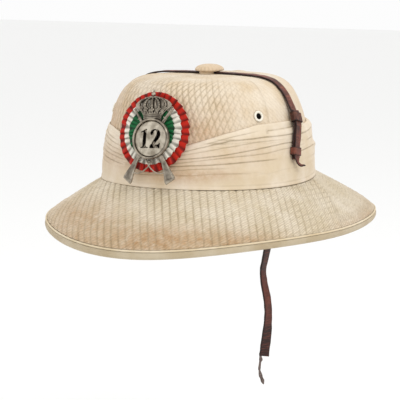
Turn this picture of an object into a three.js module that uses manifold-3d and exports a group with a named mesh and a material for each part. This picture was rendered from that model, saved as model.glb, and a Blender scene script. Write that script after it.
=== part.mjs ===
// Pith helmet: a cork crown and brim under quilted cotton, a pleated pugaree, a ventilated eyelet
// on each side, a covered top button, leather straps, and a pleated cockade under a cast badge.
// Millimetres. The front faces -Y, the wearer's left is +X and up is +Z.
// The origin is the middle of the head opening, at the height where crown and brim join.
import * as THREE from "three";
import { mergeVertices } from "three/addons/utils/BufferGeometryUtils.js";
import Module from "manifold-3d";

// Fits: the plain gap, and the one to a wall that bends between its facets
const GAP = 0.3;
const FACET_GAP = 0.7;

// Crown
const CROWN_HALF_LENGTH = 106.5;
const CROWN_HALF_WIDTH = 92.5;
const CROWN_HEIGHT = 90;
const CROWN_DOME = 3;
const CROWN_WALL = 7;
const CROWN_LEAN = -2.5;
const CROWN_TAPER = 1.73;
const CROWN_FLATNESS = 8.3;

// Brim: its reach and drop are measured from the origin to the lowest line of the rim
const RIM_FRONT = 164;
const RIM_BACK = 191;
const RIM_SIDE = 149.5;
const RIM_DROP_FRONT = 53;
const RIM_DROP_SIDE = 44;
const RIM_DROP_BACK = 53.5;
const RIM_DIAGONAL_LIFT = 2.7;
const JOINT_DROP_FRONT = 0.2;
const JOINT_DROP_SIDE = 3.2;
const JOINT_RISE_BACK = 1.7;
const BRIM_THICKNESS = 6.5;
const BRIM_STRAIGHT_REACH = 0.72;
const BRIM_STRAIGHT_DROP = 0.58;
const LINING_THICKNESS = 1;
const PIPING_RADIUS = 0.9;
const PIPING_HEIGHT = 6.2;

// Pugaree
const PUGAREE_HEIGHT = 54;
const PUGAREE_PLAIN_HEIGHT = 20;
const PUGAREE_BULK = 3.2;
const PUGAREE_HEM = 4.5;
const PUGAREE_HEM_HEIGHT = 3;
const PUGAREE_EDGE = 1.2;
const PLEATS = 6;
const PLEAT_DEPTH = 0.8;

// Top button
const BUTTON_RADIUS = 13.5;
const BUTTON_CAP_HEIGHT = 6.4;
const NECK_LENGTH = 23;
const NECK_WIDTH = 17.5;

// Leather
const STRAP_WIDTH = 11;
const STRAP_THICKNESS = 1.6;
const STRAP_LOW_END = 19;
const STRAP_FORWARD = 13;
const TAIL_THICKNESS = 1.2;
const TAIL_TOP = 59.5;
const TAIL_LOW_END = 20;
const TIP_LENGTH = 10;
const TIP_WIDTH = 4;
const KEEPER_THICKNESS = 0.8;
const UPPER_KEEPER_HEIGHT = 53.4;
const UPPER_KEEPER_LENGTH = 9.2;
const LOWER_KEEPER_HEIGHT = 25.4;
const LOWER_KEEPER_LENGTH = 8.6;
const HANGER_ANGLE = 70;
const HANGER_WIDTH = 10.5;
const HANGER_THICKNESS = 1.8;
const HANGER_TOP = 12;
const HANGER_LOW_END = -157;
const TORN_END = -183;
const TORN_WIDTH = 2.2;
const RIVET_RADIUS = 3.2;
const RIVET_SHANK = 1.6;

// Eyelets
const EYELET_ANGLE = 63.6;
const EYELET_HEIGHT = 60.4;
const EYELET_RADIUS = 4.9;
const EYELET_HOLE = 2.8;
const EYELET_BARREL = 3.4;
const EYELET_RIM = 1;

// Cockade and badge, in a frame of their own: u to the wearer's left, v up, n out of the crown
const COCKADE_ACROSS = 3.5;
const COCKADE_HEIGHT = 48.7;
const COCKADE_TILT = 14;
const COCKADE_STANDOFF = 2.3;
const COCKADE_BEND = 0.0025;
const COCKADE_FOLDS = 28;
const RIBBON_THICKNESS = 1;
const FOLD_DEPTH = 0.7;
const RED_RADIUS = 35.9;
const WHITE_RADIUS = 29.4;
const GREEN_RADIUS = 23.3;
const RIBBON_BORE = 6;
const BADGE_ACROSS = 2.9;
const BADGE_DROP = 6.8;
const BADGE_TURN = 3.2;
const BADGE_RADIUS = 18.1;
const BADGE_RIM = 2.1;
const BADGE_DEPTH = 4;
const BADGE_PLATE = 1;
const DISC_THICKNESS = 1.2;
const DISC_DOME = 1.6;
const FIGURE_HEIGHT = 17;
const RELIEF = 2.2;
const RIFLE_LENGTH = 76;
const RIFLE_LEAN = 36;
const RIFLE_CROSSING = 43;
const RIFLE_BUTT_WIDTH = 9;
const CORONET_HEIGHT = 24;
const CORONET_HALF_WIDTH = 18;
const CORONET_BAND = 1.6;
const PEARL_RADIUS = 1.1;
const CORD_RADIUS = 0.6;
const SHANK_RADIUS = 2.5;

// Fineness of the facets
const COLUMNS = 44;

const wasm = await Module();
wasm.setup();

const helmet = new THREE.Group();
const toRadians = THREE.MathUtils.degToRad;

// Basic forms

// Closed surface through rows of points. A row of one point closes the surface as a fan, and
// joined rows run back to the first one, as round a ring.
function loft(rows, joined = false) {
  const starts = [];
  let total = 0;
  for (const row of rows) {
    starts.push(total);
    total += row.length;
  }
  const faces = [];
  const steps = joined ? rows.length : rows.length - 1;
  for (let r = 0; r < steps; r++) {
    const next = (r + 1) % rows.length;
    const here = rows[r].length;
    const there = rows[next].length;
    for (let c = 0; c < Math.max(here, there); c++) {
      const a = starts[r] + (c % here);
      const b = starts[r] + ((c + 1) % here);
      const d = starts[next] + (c % there);
      const e = starts[next] + ((c + 1) % there);
      if (a !== b) faces.push(a, b, d);
      if (d !== e) faces.push(b, e, d);
    }
  }
  const geometry = new THREE.BufferGeometry().setFromPoints(rows.flat());
  geometry.setIndex(faces);
  return faceOut(geometry);
}

// Turns a closed geometry's faces outwards.
function faceOut(geometry) {
  const at = geometry.getAttribute("position");
  const faces = geometry.index.array;
  const [a, b, c] = [new THREE.Vector3(), new THREE.Vector3(), new THREE.Vector3()];
  let volume = 0;
  for (let i = 0; i < faces.length; i += 3) {
    a.fromBufferAttribute(at, faces[i]);
    b.fromBufferAttribute(at, faces[i + 1]);
    c.fromBufferAttribute(at, faces[i + 2]);
    volume += a.dot(b.cross(c));
  }
  if (volume < 0) geometry.setIndex(Array.from(faces).reverse());
  geometry.computeVertexNormals();
  return geometry;
}

// A geometry as a solid for cutting and joining, and back.
function solid(geometry) {
  const bare = geometry.clone();
  bare.deleteAttribute("normal");
  bare.deleteAttribute("uv");
  const merged = mergeVertices(bare, 1e-4);
  const mesh = new wasm.Mesh({
    numProp: 3,
    vertProperties: merged.getAttribute("position").array,
    triVerts: new Uint32Array(merged.index.array),
  });
  return new wasm.Manifold(mesh);
}

function geometryOf(manifold) {
  const mesh = manifold.getMesh();
  const geometry = new THREE.BufferGeometry();
  geometry.setAttribute("position", new THREE.BufferAttribute(mesh.vertProperties, 3));
  geometry.setIndex(Array.from(mesh.triVerts));
  geometry.computeVertexNormals();
  return geometry;
}

function joinAll(geometries) {
  return geometries.map(solid).reduce((sum, part) => sum.add(part));
}

// Adds one named piece to the helmet.
function addPiece(name, geometry, [colour, roughness, metalness]) {
  const material = new THREE.MeshStandardMaterial({ color: colour, roughness, metalness });
  const mesh = new THREE.Mesh(geometry, material);
  mesh.name = name;
  helmet.add(mesh);
}

const QUILTED_COTTON = ["#d8c9ab", 0.9, 0];
const PALE_COTTON = ["#d9d0bb", 0.9, 0];
const WRAPPED_COTTON = ["#dcc9a4", 0.9, 0];
const BROWN_LEATHER = ["#4a2a20", 0.6, 0];
const PAINTED_METAL = ["#e4dccb", 0.4, 0];
const RED_RIBBON = ["#b3261c", 0.6, 0];
const WHITE_RIBBON = ["#d9d5cb", 0.6, 0];
const GREEN_RIBBON = ["#0f6f3f", 0.6, 0];
const DULL_BRASS = ["#c2aa78", 0.4, 0.9];
const TARNISHED_SILVER = ["#9c9486", 0.45, 0.9];

// The crown's surface

const angles = Array.from({ length: COLUMNS }, (_, i) => (2 * Math.PI * i) / COLUMNS);

// Share of the plan size that is left at a share of the height, and the other way round.
function crownReach(level) {
  return (1 - Math.max(level, 0) ** CROWN_TAPER) ** (1 / CROWN_FLATNESS);
}

function crownLevel(reach) {
  return (1 - reach ** CROWN_FLATNESS) ** (1 / CROWN_TAPER);
}

// A point of the crown's outside, grown outwards, at an angle from the front.
function crownPoint(angle, level, grow = 0, reach = crownReach(level)) {
  return new THREE.Vector3(
    (CROWN_HALF_WIDTH + grow) * reach * Math.sin(angle),
    -(CROWN_HALF_LENGTH + grow) * reach * Math.cos(angle) + CROWN_LEAN * level,
    (CROWN_HEIGHT + grow) * level + CROWN_DOME * (1 - reach ** 2),
  );
}

// A point of the crown's outside at a true height.
function crownPointAt(angle, height, grow = 0) {
  const level = height / CROWN_HEIGHT;
  const point = crownPoint(angle, level, 0);
  const outward = new THREE.Vector3(Math.sin(angle), -Math.cos(angle), 0);
  point.addScaledVector(outward, grow);
  point.z = height;
  return point;
}

// Height of the line where crown and brim join.
function jointHeight(angle) {
  const ends = Math.cos(angle) > 0 ? -JOINT_DROP_FRONT : JOINT_RISE_BACK;
  return -JOINT_DROP_SIDE + (ends + JOINT_DROP_SIDE) * Math.cos(angle) ** 2;
}

const WALL_LEVELS = [0.14, 0.28, 0.42, 0.55, 0.67, 0.78, 0.87, 0.92];
const TOP_REACHES = [0.73, 0.64, 0.48, 0.25];

// The rows of one face of the crown, from its foot to its top. The inside needs every other row.
function crownRows(grow, every) {
  const rows = [angles.map((a) => crownPoint(a, 0, grow).setZ(jointHeight(a) + GAP))];
  const chosen = (list) => list.filter((_, i) => (i + 1) % every === 0);
  for (const level of chosen(WALL_LEVELS)) rows.push(angles.map((a) => crownPoint(a, level, grow)));
  for (const reach of chosen(TOP_REACHES)) {
    rows.push(angles.map((a) => crownPoint(a, crownLevel(reach), grow, reach)));
  }
  rows.push([crownPoint(0, 1, grow)]);
  return rows;
}

// Unit vectors along, up and out of the crown where a fitting sits.
function crownSeat(angle, height) {
  const level = height / CROWN_HEIGHT;
  const step = 0.01;
  const origin = crownPoint(angle, level);
  const along = crownPoint(angle + step, level).sub(origin).normalize();
  const up = crownPoint(angle, level + step).sub(origin).normalize();
  const out = new THREE.Vector3().crossVectors(along, up).normalize();
  return { origin, along, up: new THREE.Vector3().crossVectors(out, along), out };
}

function placedAt(geometry, { origin, along, up, out }) {
  const matrix = new THREE.Matrix4().makeBasis(along, up, out).setPosition(origin);
  return geometry.applyMatrix4(matrix);
}

// Eyelets, and the crown with their holes cut through

const eyeletProfile = [
  [EYELET_HOLE, -CROWN_WALL - EYELET_RIM],
  [EYELET_BARREL, -CROWN_WALL - EYELET_RIM],
  [EYELET_BARREL, GAP],
  [EYELET_RADIUS, GAP],
  [EYELET_RADIUS, GAP + EYELET_RIM / 2],
  [(EYELET_RADIUS + EYELET_BARREL) / 2, GAP + EYELET_RIM],
  [EYELET_HOLE, GAP + EYELET_RIM / 2],
  [EYELET_HOLE, -CROWN_WALL - EYELET_RIM],
];

function lathe(profile, segments) {
  const points = profile.map(([x, y]) => new THREE.Vector2(x, y));
  const geometry = new THREE.LatheGeometry(points, segments);
  geometry.rotateX(Math.PI / 2);
  return faceOut(mergeVertices(bareOf(geometry), 1e-4));
}

function bareOf(geometry) {
  geometry.deleteAttribute("normal");
  geometry.deleteAttribute("uv");
  return geometry;
}

let crown = solid(loft([...crownRows(0, 1).reverse(), ...crownRows(-CROWN_WALL, 2)]));
for (const [side, sign] of [["left", 1], ["right", -1]]) {
  const seat = crownSeat(sign * toRadians(EYELET_ANGLE), EYELET_HEIGHT);
  const bore = new THREE.CylinderGeometry(EYELET_BARREL + GAP, EYELET_BARREL + GAP, 4 * CROWN_WALL, 16);
  crown = crown.subtract(solid(placedAt(bore.rotateX(Math.PI / 2), seat)));
  addPiece(`${side}_eyelet`, placedAt(lathe(eyeletProfile, 14), seat), PAINTED_METAL);
}
addPiece("crown", geometryOf(crown), QUILTED_COTTON);

// The brim's section at an angle: a flat seat under the crown, a straight slope, then a curve
// that turns down to the rim. Offsets are measured inwards from the outer face.
function brimSection(angle) {
  const long = Math.cos(angle) > 0 ? RIM_FRONT : RIM_BACK;
  const plan = (halfWidth, halfLength) =>
    new THREE.Vector3(halfWidth * Math.sin(angle), -halfLength * Math.cos(angle), 0);
  const inner = plan(CROWN_HALF_WIDTH + PUGAREE_HEM, CROWN_HALF_LENGTH + PUGAREE_HEM);
  const opening = plan(CROWN_HALF_WIDTH - CROWN_WALL, CROWN_HALF_LENGTH - CROWN_WALL);
  const outer = plan(RIM_SIDE, long);
  const rimDrop = Math.cos(angle) > 0 ? RIM_DROP_FRONT : RIM_DROP_BACK;
  const lowest =
    -RIM_DROP_SIDE -
    (rimDrop - RIM_DROP_SIDE) * Math.cos(angle) ** 2 +
    RIM_DIAGONAL_LIFT * Math.sin(2 * angle) ** 2;
  const top = jointHeight(angle);
  const width = inner.distanceTo(outer);
  const drop = top - lowest;
  const radius = BRIM_THICKNESS / 2;
  const bendFrom = new THREE.Vector2(BRIM_STRAIGHT_REACH * width, -BRIM_STRAIGHT_DROP * drop);
  const corner = bendFrom.clone().divideScalar(BRIM_STRAIGHT_REACH);
  const bendTo = new THREE.Vector2(width, radius - drop);
  const place = (reach, height) =>
    inner.clone().lerp(outer, reach / width).setZ(top + height);
  // Outer face: from 0 to 1 on the slope, from 1 to 2 round the bend.
  const face = (s, offset) => {
    const u = Math.max(s - 1, 0);
    const at = bendFrom.clone().multiplyScalar(Math.min(s, 1));
    let along = bendFrom.clone();
    if (s > 1) {
      at.copy(bendFrom).multiplyScalar((1 - u) ** 2);
      at.addScaledVector(corner, 2 * u * (1 - u)).addScaledVector(bendTo, u * u);
      along = corner.clone().sub(bendFrom).multiplyScalar(1 - u);
      along.addScaledVector(bendTo.clone().sub(corner), u);
    }
    along.normalize();
    return place(at.x + along.y * offset, at.y - along.x * offset);
  };
  // Rounded lower edge, from the outer face at turn 0 to the inner face at turn 1.
  const edge = (turn, offset) => {
    const r = radius - offset;
    const bend = Math.PI * turn;
    return place(width - radius + r * Math.cos(bend), bendTo.y - r * Math.sin(bend));
  };
  // Where the piping's middle lies round the bend, and the step to one side of it.
  const a = bendFrom.y - 2 * corner.y + bendTo.y;
  const b = 2 * (corner.y - bendFrom.y);
  const c = bendFrom.y - (PIPING_HEIGHT - drop);
  const middle = (2 * c) / (-b + Math.sqrt(b * b - 4 * a * c));
  const seam = 1 + middle;
  const rate = face(seam + 0.01, 0).distanceTo(face(seam, 0)) / 0.01;
  const seamStep = (PIPING_RADIUS + GAP) / rate;
  const seat = (depth) => opening.clone().setZ(top - depth);
  return { face, edge, seat, seam, seamStep };
}

const sections = angles.map(brimSection);
const boardThickness = BRIM_THICKNESS - LINING_THICKNESS - GAP;
const rebate = LINING_THICKNESS + GAP;

const brimColumns = sections.map(({ face, edge, seat, seam, seamStep }) => {
  const end = seam - seamStep;
  return [
    seat(0),
    ...[0, 0.35, 0.7, 1, 1 + 0.4 * (end - 1), 1 + 0.75 * (end - 1), end].map((s) => face(s, 0)),
    face(end, rebate),
    face(2, rebate),
    ...[0.33, 0.67].map((turn) => edge(turn, rebate)),
    ...[2, 1.5, 1, 0.5, 0].map((s) => face(s, boardThickness)),
    seat(boardThickness),
  ];
});
addPiece("brim", loft(brimColumns, true), QUILTED_COTTON);

const liningColumns = sections.map(({ face, edge, seat, seam, seamStep }) => {
  const inside = BRIM_THICKNESS - LINING_THICKNESS;
  const start = seam + seamStep;
  return [
    seat(inside),
    ...[0, 0.5, 1, 1.5, 2].map((s) => face(s, inside)),
    ...[0.67, 0.33].map((turn) => edge(turn, LINING_THICKNESS)),
    face(2, LINING_THICKNESS),
    face(start, LINING_THICKNESS),
    face(start, 0),
    face(2, 0),
    ...[0.33, 0.67].map((turn) => edge(turn, 0)),
    ...[2, 1.5, 1, 0.5, 0].map((s) => face(s, BRIM_THICKNESS)),
    seat(BRIM_THICKNESS),
  ];
});
addPiece("brim_underside", loft(liningColumns, true), PALE_COTTON);

const PIPING_SIDES = 6;
const pipingColumns = sections.map(({ face, seam, seamStep }) => {
  const sink = rebate - GAP - PIPING_RADIUS;
  const rate = seamStep / (PIPING_RADIUS + GAP);
  return Array.from({ length: PIPING_SIDES }, (_, i) => {
    const turn = (2 * Math.PI * i) / PIPING_SIDES;
    return face(seam + PIPING_RADIUS * rate * Math.sin(turn), sink - PIPING_RADIUS * Math.cos(turn));
  });
});
addPiece("rim_piping", loft(pipingColumns, true), PALE_COTTON);

// The pugaree, a long scarf wound in pleats round the crown. It dips to a V behind the cockade.
// Columns: degrees from the front towards the wearer's left, height of the edge as a share.
const PUGAREE_LINE = [
  [-180, 0.93],
  [-120, 0.9],
  [-97, 0.89],
  [-62, 0.9],
  [-38, 0.9],
  [-22, 0.83],
  [-8, 0.62],
  [4, 0.57],
  [14, 0.63],
  [22, 0.7],
  [40, 0.86],
  [62, 1],
  [74, 0.88],
  [97, 0.88],
  [130, 0.91],
  [180, 0.93],
];

function pugareeTop(angle) {
  let degrees = THREE.MathUtils.radToDeg(angle);
  if (degrees > 180) degrees -= 360;
  const after = PUGAREE_LINE.findIndex(([at]) => at >= degrees);
  const [from, low] = PUGAREE_LINE[Math.max(after - 1, 0)];
  const [to, high] = PUGAREE_LINE[after];
  const share = to === from ? 0 : (degrees - from) / (to - from);
  return PUGAREE_HEIGHT * THREE.MathUtils.lerp(low, high, share);
}

const pugareeColumns = angles.map((angle) => {
  const foot = jointHeight(angle) + GAP;
  const top = pugareeTop(angle);
  const wall = (height, grow) => crownPointAt(angle, height, grow);
  const rise = (top - PUGAREE_PLAIN_HEIGHT) / PLEATS;
  const pleats = [];
  for (let i = 0; i < PLEATS; i++) {
    const height = PUGAREE_PLAIN_HEIGHT + rise * i;
    pleats.push(wall(height, PUGAREE_BULK - PLEAT_DEPTH));
    pleats.push(wall(height + rise * 0.3, PUGAREE_BULK));
  }
  return [
    wall(foot, PUGAREE_HEM),
    wall(foot + PUGAREE_HEM_HEIGHT, PUGAREE_HEM),
    wall(foot + PUGAREE_HEM_HEIGHT * 1.2, PUGAREE_HEM - PLEAT_DEPTH),
    wall((foot + PUGAREE_PLAIN_HEIGHT) / 2, PUGAREE_BULK + PLEAT_DEPTH / 2),
    ...pleats,
    wall(top, PUGAREE_EDGE + GAP),
    wall(top, GAP),
    wall(top * 0.66, GAP),
    wall(top * 0.33, GAP),
    wall(foot, GAP),
  ];
});
addPiece("pugaree", loft(pugareeColumns, true), WRAPPED_COTTON);

// The top button: a covered cap on a neck whose two feet leave a slot for the strap
const crownTop = CROWN_HEIGHT + CROWN_DOME;
const strapTop = crownTop + GAP + STRAP_THICKNESS + GAP;
const capFoot = strapTop + GAP;
const cap = lathe(
  [
    [0, capFoot],
    [0.9 * BUTTON_RADIUS, capFoot],
    [BUTTON_RADIUS, capFoot + 0.2 * BUTTON_CAP_HEIGHT],
    [0.97 * BUTTON_RADIUS, capFoot + 0.45 * BUTTON_CAP_HEIGHT],
    [0.8 * BUTTON_RADIUS, capFoot + 0.75 * BUTTON_CAP_HEIGHT],
    [0.5 * BUTTON_RADIUS, capFoot + 0.93 * BUTTON_CAP_HEIGHT],
    [0, capFoot + BUTTON_CAP_HEIGHT],
  ],
  24,
);
const neckHeight = capFoot - crownTop;
const neck = new THREE.CylinderGeometry(0.5, 0.5, neckHeight, 20).rotateX(Math.PI / 2);
neck.scale(NECK_WIDTH, NECK_LENGTH, 1);
neck.translate(0, 0, crownTop + GAP + neckHeight / 2);
const slot = new THREE.BoxGeometry(2 * NECK_WIDTH, STRAP_WIDTH + 2 * GAP, 2 * (strapTop - crownTop));
slot.translate(0, 0, crownTop);
const button = joinAll([cap, neck]).subtract(solid(slot));
addPiece("top_button", geometryOf(button), QUILTED_COTTON);

// Straps

// A flat band through stations, each with its place, width direction, width and thickness.
function band(stations) {
  const rows = stations.map((station, i) => {
    const before = stations[Math.max(i - 1, 0)].at;
    const after = stations[Math.min(i + 1, stations.length - 1)].at;
    const along = after.clone().sub(before).normalize();
    const across = station.across.clone();
    across.addScaledVector(along, -across.dot(along)).normalize();
    const out = new THREE.Vector3().crossVectors(across, along);
    const corners = [[-1, -1], [1, -1], [1, 1], [-1, 1]];
    return corners.map(([w, t]) =>
      station.at
        .clone()
        .addScaledVector(across, (w * station.width) / 2)
        .addScaledVector(out, (t * station.thickness) / 2),
    );
  });
  const middle = (row) =>
    row.reduce((sum, p) => sum.add(p), new THREE.Vector3()).divideScalar(row.length);
  return loft([[middle(rows[0])], ...rows, [middle(rows[rows.length - 1])]]);
}

const BACKWARD = new THREE.Vector3(0, 1, 0);
const underKeeper = GAP + KEEPER_THICKNESS + GAP + STRAP_THICKNESS / 2;

// How far the strap's middle stands off the crown's cloth at a height: it lies on the cloth over
// the top, lifts where the keepers run under it, and slants out to pass over the pugaree's edge.
function strapLift(height, keepers) {
  const ramp = (from, to) => THREE.MathUtils.clamp((from - height / PUGAREE_HEIGHT) / (from - to), 0, 1);
  const rest = 2 * GAP + STRAP_THICKNESS / 2;
  const lifted = keepers ? ramp(1.5, 1.22) : 0;
  return rest + (underKeeper - rest) * lifted + (PUGAREE_BULK + GAP) * ramp(1.22, 0.86);
}

// A point on the strap's route down one side, further forward the lower it gets.
function strapPoint(side, level, reach, keepers) {
  const height = CROWN_HEIGHT * level;
  const grow = strapLift(height, keepers);
  const forward = -STRAP_FORWARD * THREE.MathUtils.smoothstep(-height, -UPPER_KEEPER_HEIGHT, -STRAP_LOW_END);
  const point = crownPoint(Math.PI / 2, level, grow, reach);
  point.x *= side * Math.sqrt(1 - (forward / CROWN_HALF_LENGTH) ** 2);
  point.y = forward;
  return point;
}

// The strap's place on the wearer's left at a height, with the directions along it and out of it.
function strapFrame(height) {
  const at = (h) => strapPoint(1, h / CROWN_HEIGHT, crownReach(h / CROWN_HEIGHT), true);
  const up = at(height + 2).sub(at(height - 2)).normalize();
  const across = BACKWARD.clone().addScaledVector(up, -BACKWARD.dot(up)).normalize();
  const out = new THREE.Vector3().crossVectors(across, up);
  return { at: at(height), up, across, out };
}

const SIDE_LEVELS = [0.26, 0.32, 0.38, 0.46, 0.53, 0.6, 0.66, 0.72, 0.78, 0.83, 0.88];
const OVER_REACHES = [0.79, 0.765, 0.735, 0.7, 0.65, 0.59, 0.5, 0.35, 0.14];

function strapSide(side, keepers) {
  const levels = [STRAP_LOW_END / CROWN_HEIGHT, ...SIDE_LEVELS];
  const route = levels.map((level) => strapPoint(side, level, crownReach(level), keepers));
  for (const reach of OVER_REACHES) {
    route.push(strapPoint(side, crownLevel(reach), reach, keepers));
  }
  return route;
}

const overRoute = [...strapSide(-1, false), ...strapSide(1, true).reverse()];
const overStations = overRoute.map((at) => {
  at.z = Math.min(at.z, crownTop + GAP + STRAP_THICKNESS / 2);
  return { at, across: BACKWARD, width: STRAP_WIDTH, thickness: STRAP_THICKNESS };
});
addPiece("over_strap", band(overStations), BROWN_LEATHER);

// The strap's doubled end outside it, with a narrow tip that curls back and out
const tailLift = STRAP_THICKNESS / 2 + 2 * GAP + TAIL_THICKNESS / 2;
const tailHeights = SIDE_LEVELS.map((level) => level * CROWN_HEIGHT).filter(
  (height) => height > TAIL_LOW_END + 2 && height < TAIL_TOP - 2,
);
const tailStations = [TAIL_TOP, ...tailHeights.reverse(), TAIL_LOW_END].map((height) => {
  const { at, out } = strapFrame(height);
  at.addScaledVector(out, tailLift);
  return { at, across: BACKWARD, width: STRAP_WIDTH, thickness: TAIL_THICKNESS };
});
// Columns: share of the tip's length below the doubled end, backward and outward shares of it.
const TIP_CURL = [
  [0.15, 0, 0.03],
  [0.5, 0.05, 0.1],
  [0.75, 0.35, 0.25],
  [0.82, 0.85, 0.45],
];
const tailEnd = tailStations[tailStations.length - 1].at;
for (const [down, back, out] of TIP_CURL) {
  const step = new THREE.Vector3(out, back, -down).multiplyScalar(TIP_LENGTH);
  tailStations.push({
    at: tailEnd.clone().add(step),
    across: BACKWARD,
    width: TIP_WIDTH,
    thickness: TAIL_THICKNESS,
  });
}
tailStations[tailStations.length - 1].across = new THREE.Vector3(0, 0, 1);
tailStations[tailStations.length - 1].width = TIP_WIDTH / 2;
addPiece("strap_tail", band(tailStations), BROWN_LEATHER);

// Keepers: leather loops round both layers of the strap
function keeper(height, length) {
  const { at, up, across, out } = strapFrame(height);
  const halfWidth = STRAP_WIDTH / 2 + 2 * GAP;
  const inside = -STRAP_THICKNESS / 2 - GAP;
  const outside = STRAP_THICKNESS / 2 + 2 * GAP + TAIL_THICKNESS + GAP;
  const box = (grow) => [
    [-halfWidth - grow, inside - grow],
    [halfWidth + grow, inside - grow],
    [halfWidth + grow, outside + grow],
    [-halfWidth - grow, outside + grow],
  ];
  const shape = new THREE.Shape(box(KEEPER_THICKNESS).map(([x, y]) => new THREE.Vector2(x, y)));
  shape.holes.push(new THREE.Path(box(0).map(([x, y]) => new THREE.Vector2(x, y))));
  const loop = new THREE.ExtrudeGeometry(shape, { depth: length, bevelEnabled: false });
  loop.translate(0, 0, -length / 2);
  return placedAt(loop, { origin: at, along: across, up: out, out: up.clone().negate() });
}
addPiece("upper_keeper", keeper(UPPER_KEEPER_HEIGHT, UPPER_KEEPER_LENGTH), BROWN_LEATHER);
addPiece("lower_keeper", keeper(LOWER_KEEPER_HEIGHT, LOWER_KEEPER_LENGTH), BROWN_LEATHER);

// The hanging strap, riveted inside the head opening on the wearer's left. It is torn off below.
// Columns: share of the drop, sway outwards as a share of the width, turn of the width in degrees.
const HANGER_ROUTE = [
  [0, 0, 0],
  [0.05, 0, 0],
  [0.12, -0.12, 0],
  [0.2, -0.24, 2],
  [0.3, -0.22, 5],
  [0.39, -0.1, 8],
  [0.47, -0.4, 13],
  [0.54, -0.66, 16],
  [0.61, -0.5, 14],
  [0.69, -0.12, 10],
  [0.77, 0, 7],
  [0.86, -0.12, -4],
  [0.94, -0.34, -12],
  [1, -0.52, -15],
];
const hangerAngle = toRadians(HANGER_ANGLE);
const hangerSeat = crownPoint(hangerAngle, 0, -CROWN_WALL);
const wallAlong = new THREE.Vector3(
  (CROWN_HALF_WIDTH - CROWN_WALL) * Math.cos(hangerAngle),
  (CROWN_HALF_LENGTH - CROWN_WALL) * Math.sin(hangerAngle),
  0,
).normalize();
const wallOut = new THREE.Vector3(wallAlong.y, -wallAlong.x, 0);
// The wall leans in above the opening, so the strap starts as far in as the wall is at its top.
const wallTop = crownPointAt(hangerAngle, HANGER_TOP, -CROWN_WALL).sub(hangerSeat).dot(wallOut);
const hangerIn = wallTop - FACET_GAP - HANGER_THICKNESS / 2;

function hangerStation(share, sway, turn, width) {
  const across = wallAlong.clone().applyAxisAngle(new THREE.Vector3(0, 0, 1), toRadians(turn));
  const at = hangerSeat.clone().addScaledVector(wallOut, hangerIn + sway * HANGER_WIDTH);
  at.z = HANGER_TOP + (HANGER_LOW_END - HANGER_TOP) * share;
  return { at, across, width, thickness: HANGER_THICKNESS };
}

const hanger = band(
  HANGER_ROUTE.map(([share, sway, turn]) => hangerStation(share, sway, turn, HANGER_WIDTH)),
);
// The torn strip hangs from the forward corner of the cut end.
const [, lastSway, lastTurn] = HANGER_ROUTE[HANGER_ROUTE.length - 1];
const cutEnd = hangerStation(1, lastSway, lastTurn, TORN_WIDTH);
const corner = cutEnd.at.clone().addScaledVector(cutEnd.across, (TORN_WIDTH - HANGER_WIDTH) / 2);
// Columns: share of the strip's length, sideways drift and width as shares of the strip's width.
const TORN_ROUTE = [
  [-0.12, 0, 1],
  [0, 0, 0.9],
  [0.3, -0.35, 0.6],
  [0.62, -0.1, 0.75],
  [0.85, 0.75, 0.6],
  [1, 1.2, 0.35],
];
const torn = band(
  TORN_ROUTE.map(([share, drift, width]) => {
    const at = corner.clone().addScaledVector(cutEnd.across, drift * TORN_WIDTH);
    at.z = HANGER_LOW_END + (TORN_END - HANGER_LOW_END) * share;
    return { ...cutEnd, at, width: width * TORN_WIDTH, thickness: HANGER_THICKNESS * 0.7 };
  }),
);
const rivetHeight = HANGER_TOP / 2;
const rivetSeat = {
  origin: hangerSeat.clone().addScaledVector(wallOut, hangerIn).setZ(rivetHeight),
  along: wallAlong.clone().negate(),
  up: new THREE.Vector3(0, 0, 1),
  out: wallOut.clone().negate(),
};
const rivetBore = new THREE.CylinderGeometry(RIVET_SHANK + GAP, RIVET_SHANK + GAP, 4 * HANGER_THICKNESS, 12);
placedAt(rivetBore.rotateX(Math.PI / 2), rivetSeat);
const hangerCut = joinAll([hanger, torn]).subtract(solid(rivetBore));
addPiece("hanging_strap", geometryOf(hangerCut), BROWN_LEATHER);

const wallAtRivet = crownPointAt(hangerAngle, rivetHeight, -CROWN_WALL).sub(hangerSeat).dot(wallOut);
const shankFoot = -(wallAtRivet - hangerIn - FACET_GAP);
const headFoot = HANGER_THICKNESS / 2 + GAP;
const rivet = lathe(
  [
    [0, shankFoot],
    [RIVET_SHANK, shankFoot],
    [RIVET_SHANK, headFoot],
    [RIVET_RADIUS, headFoot],
    [0.8 * RIVET_RADIUS, headFoot + 0.3 * RIVET_RADIUS],
    [0, headFoot + 0.4 * RIVET_RADIUS],
  ],
  12,
);
addPiece("strap_rivet", placedAt(rivet, rivetSeat), DULL_BRASS);

// The cockade's frame on the crown: bent back at both sides with the crown's front
const tilt = toRadians(COCKADE_TILT);
const cockadeAngle = Math.asin(COCKADE_ACROSS / CROWN_HALF_WIDTH);
const cockadeOrigin = crownPointAt(cockadeAngle, COCKADE_HEIGHT, COCKADE_STANDOFF);
const cockadeUp = new THREE.Vector3(0, Math.sin(tilt), Math.cos(tilt));
const cockadeOut = new THREE.Vector3(0, -Math.cos(tilt), Math.sin(tilt));

function onCockade(geometry) {
  const at = geometry.getAttribute("position");
  for (let i = 0; i < at.count; i++) {
    const [u, v, n] = [at.getX(i), at.getY(i), at.getZ(i)];
    const point = cockadeOrigin.clone();
    point.x += u;
    point.addScaledVector(cockadeUp, v).addScaledVector(cockadeOut, n - COCKADE_BEND * u * u);
    at.setXYZ(i, point.x, point.y, point.z);
  }
  return faceOut(geometry);
}

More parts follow.
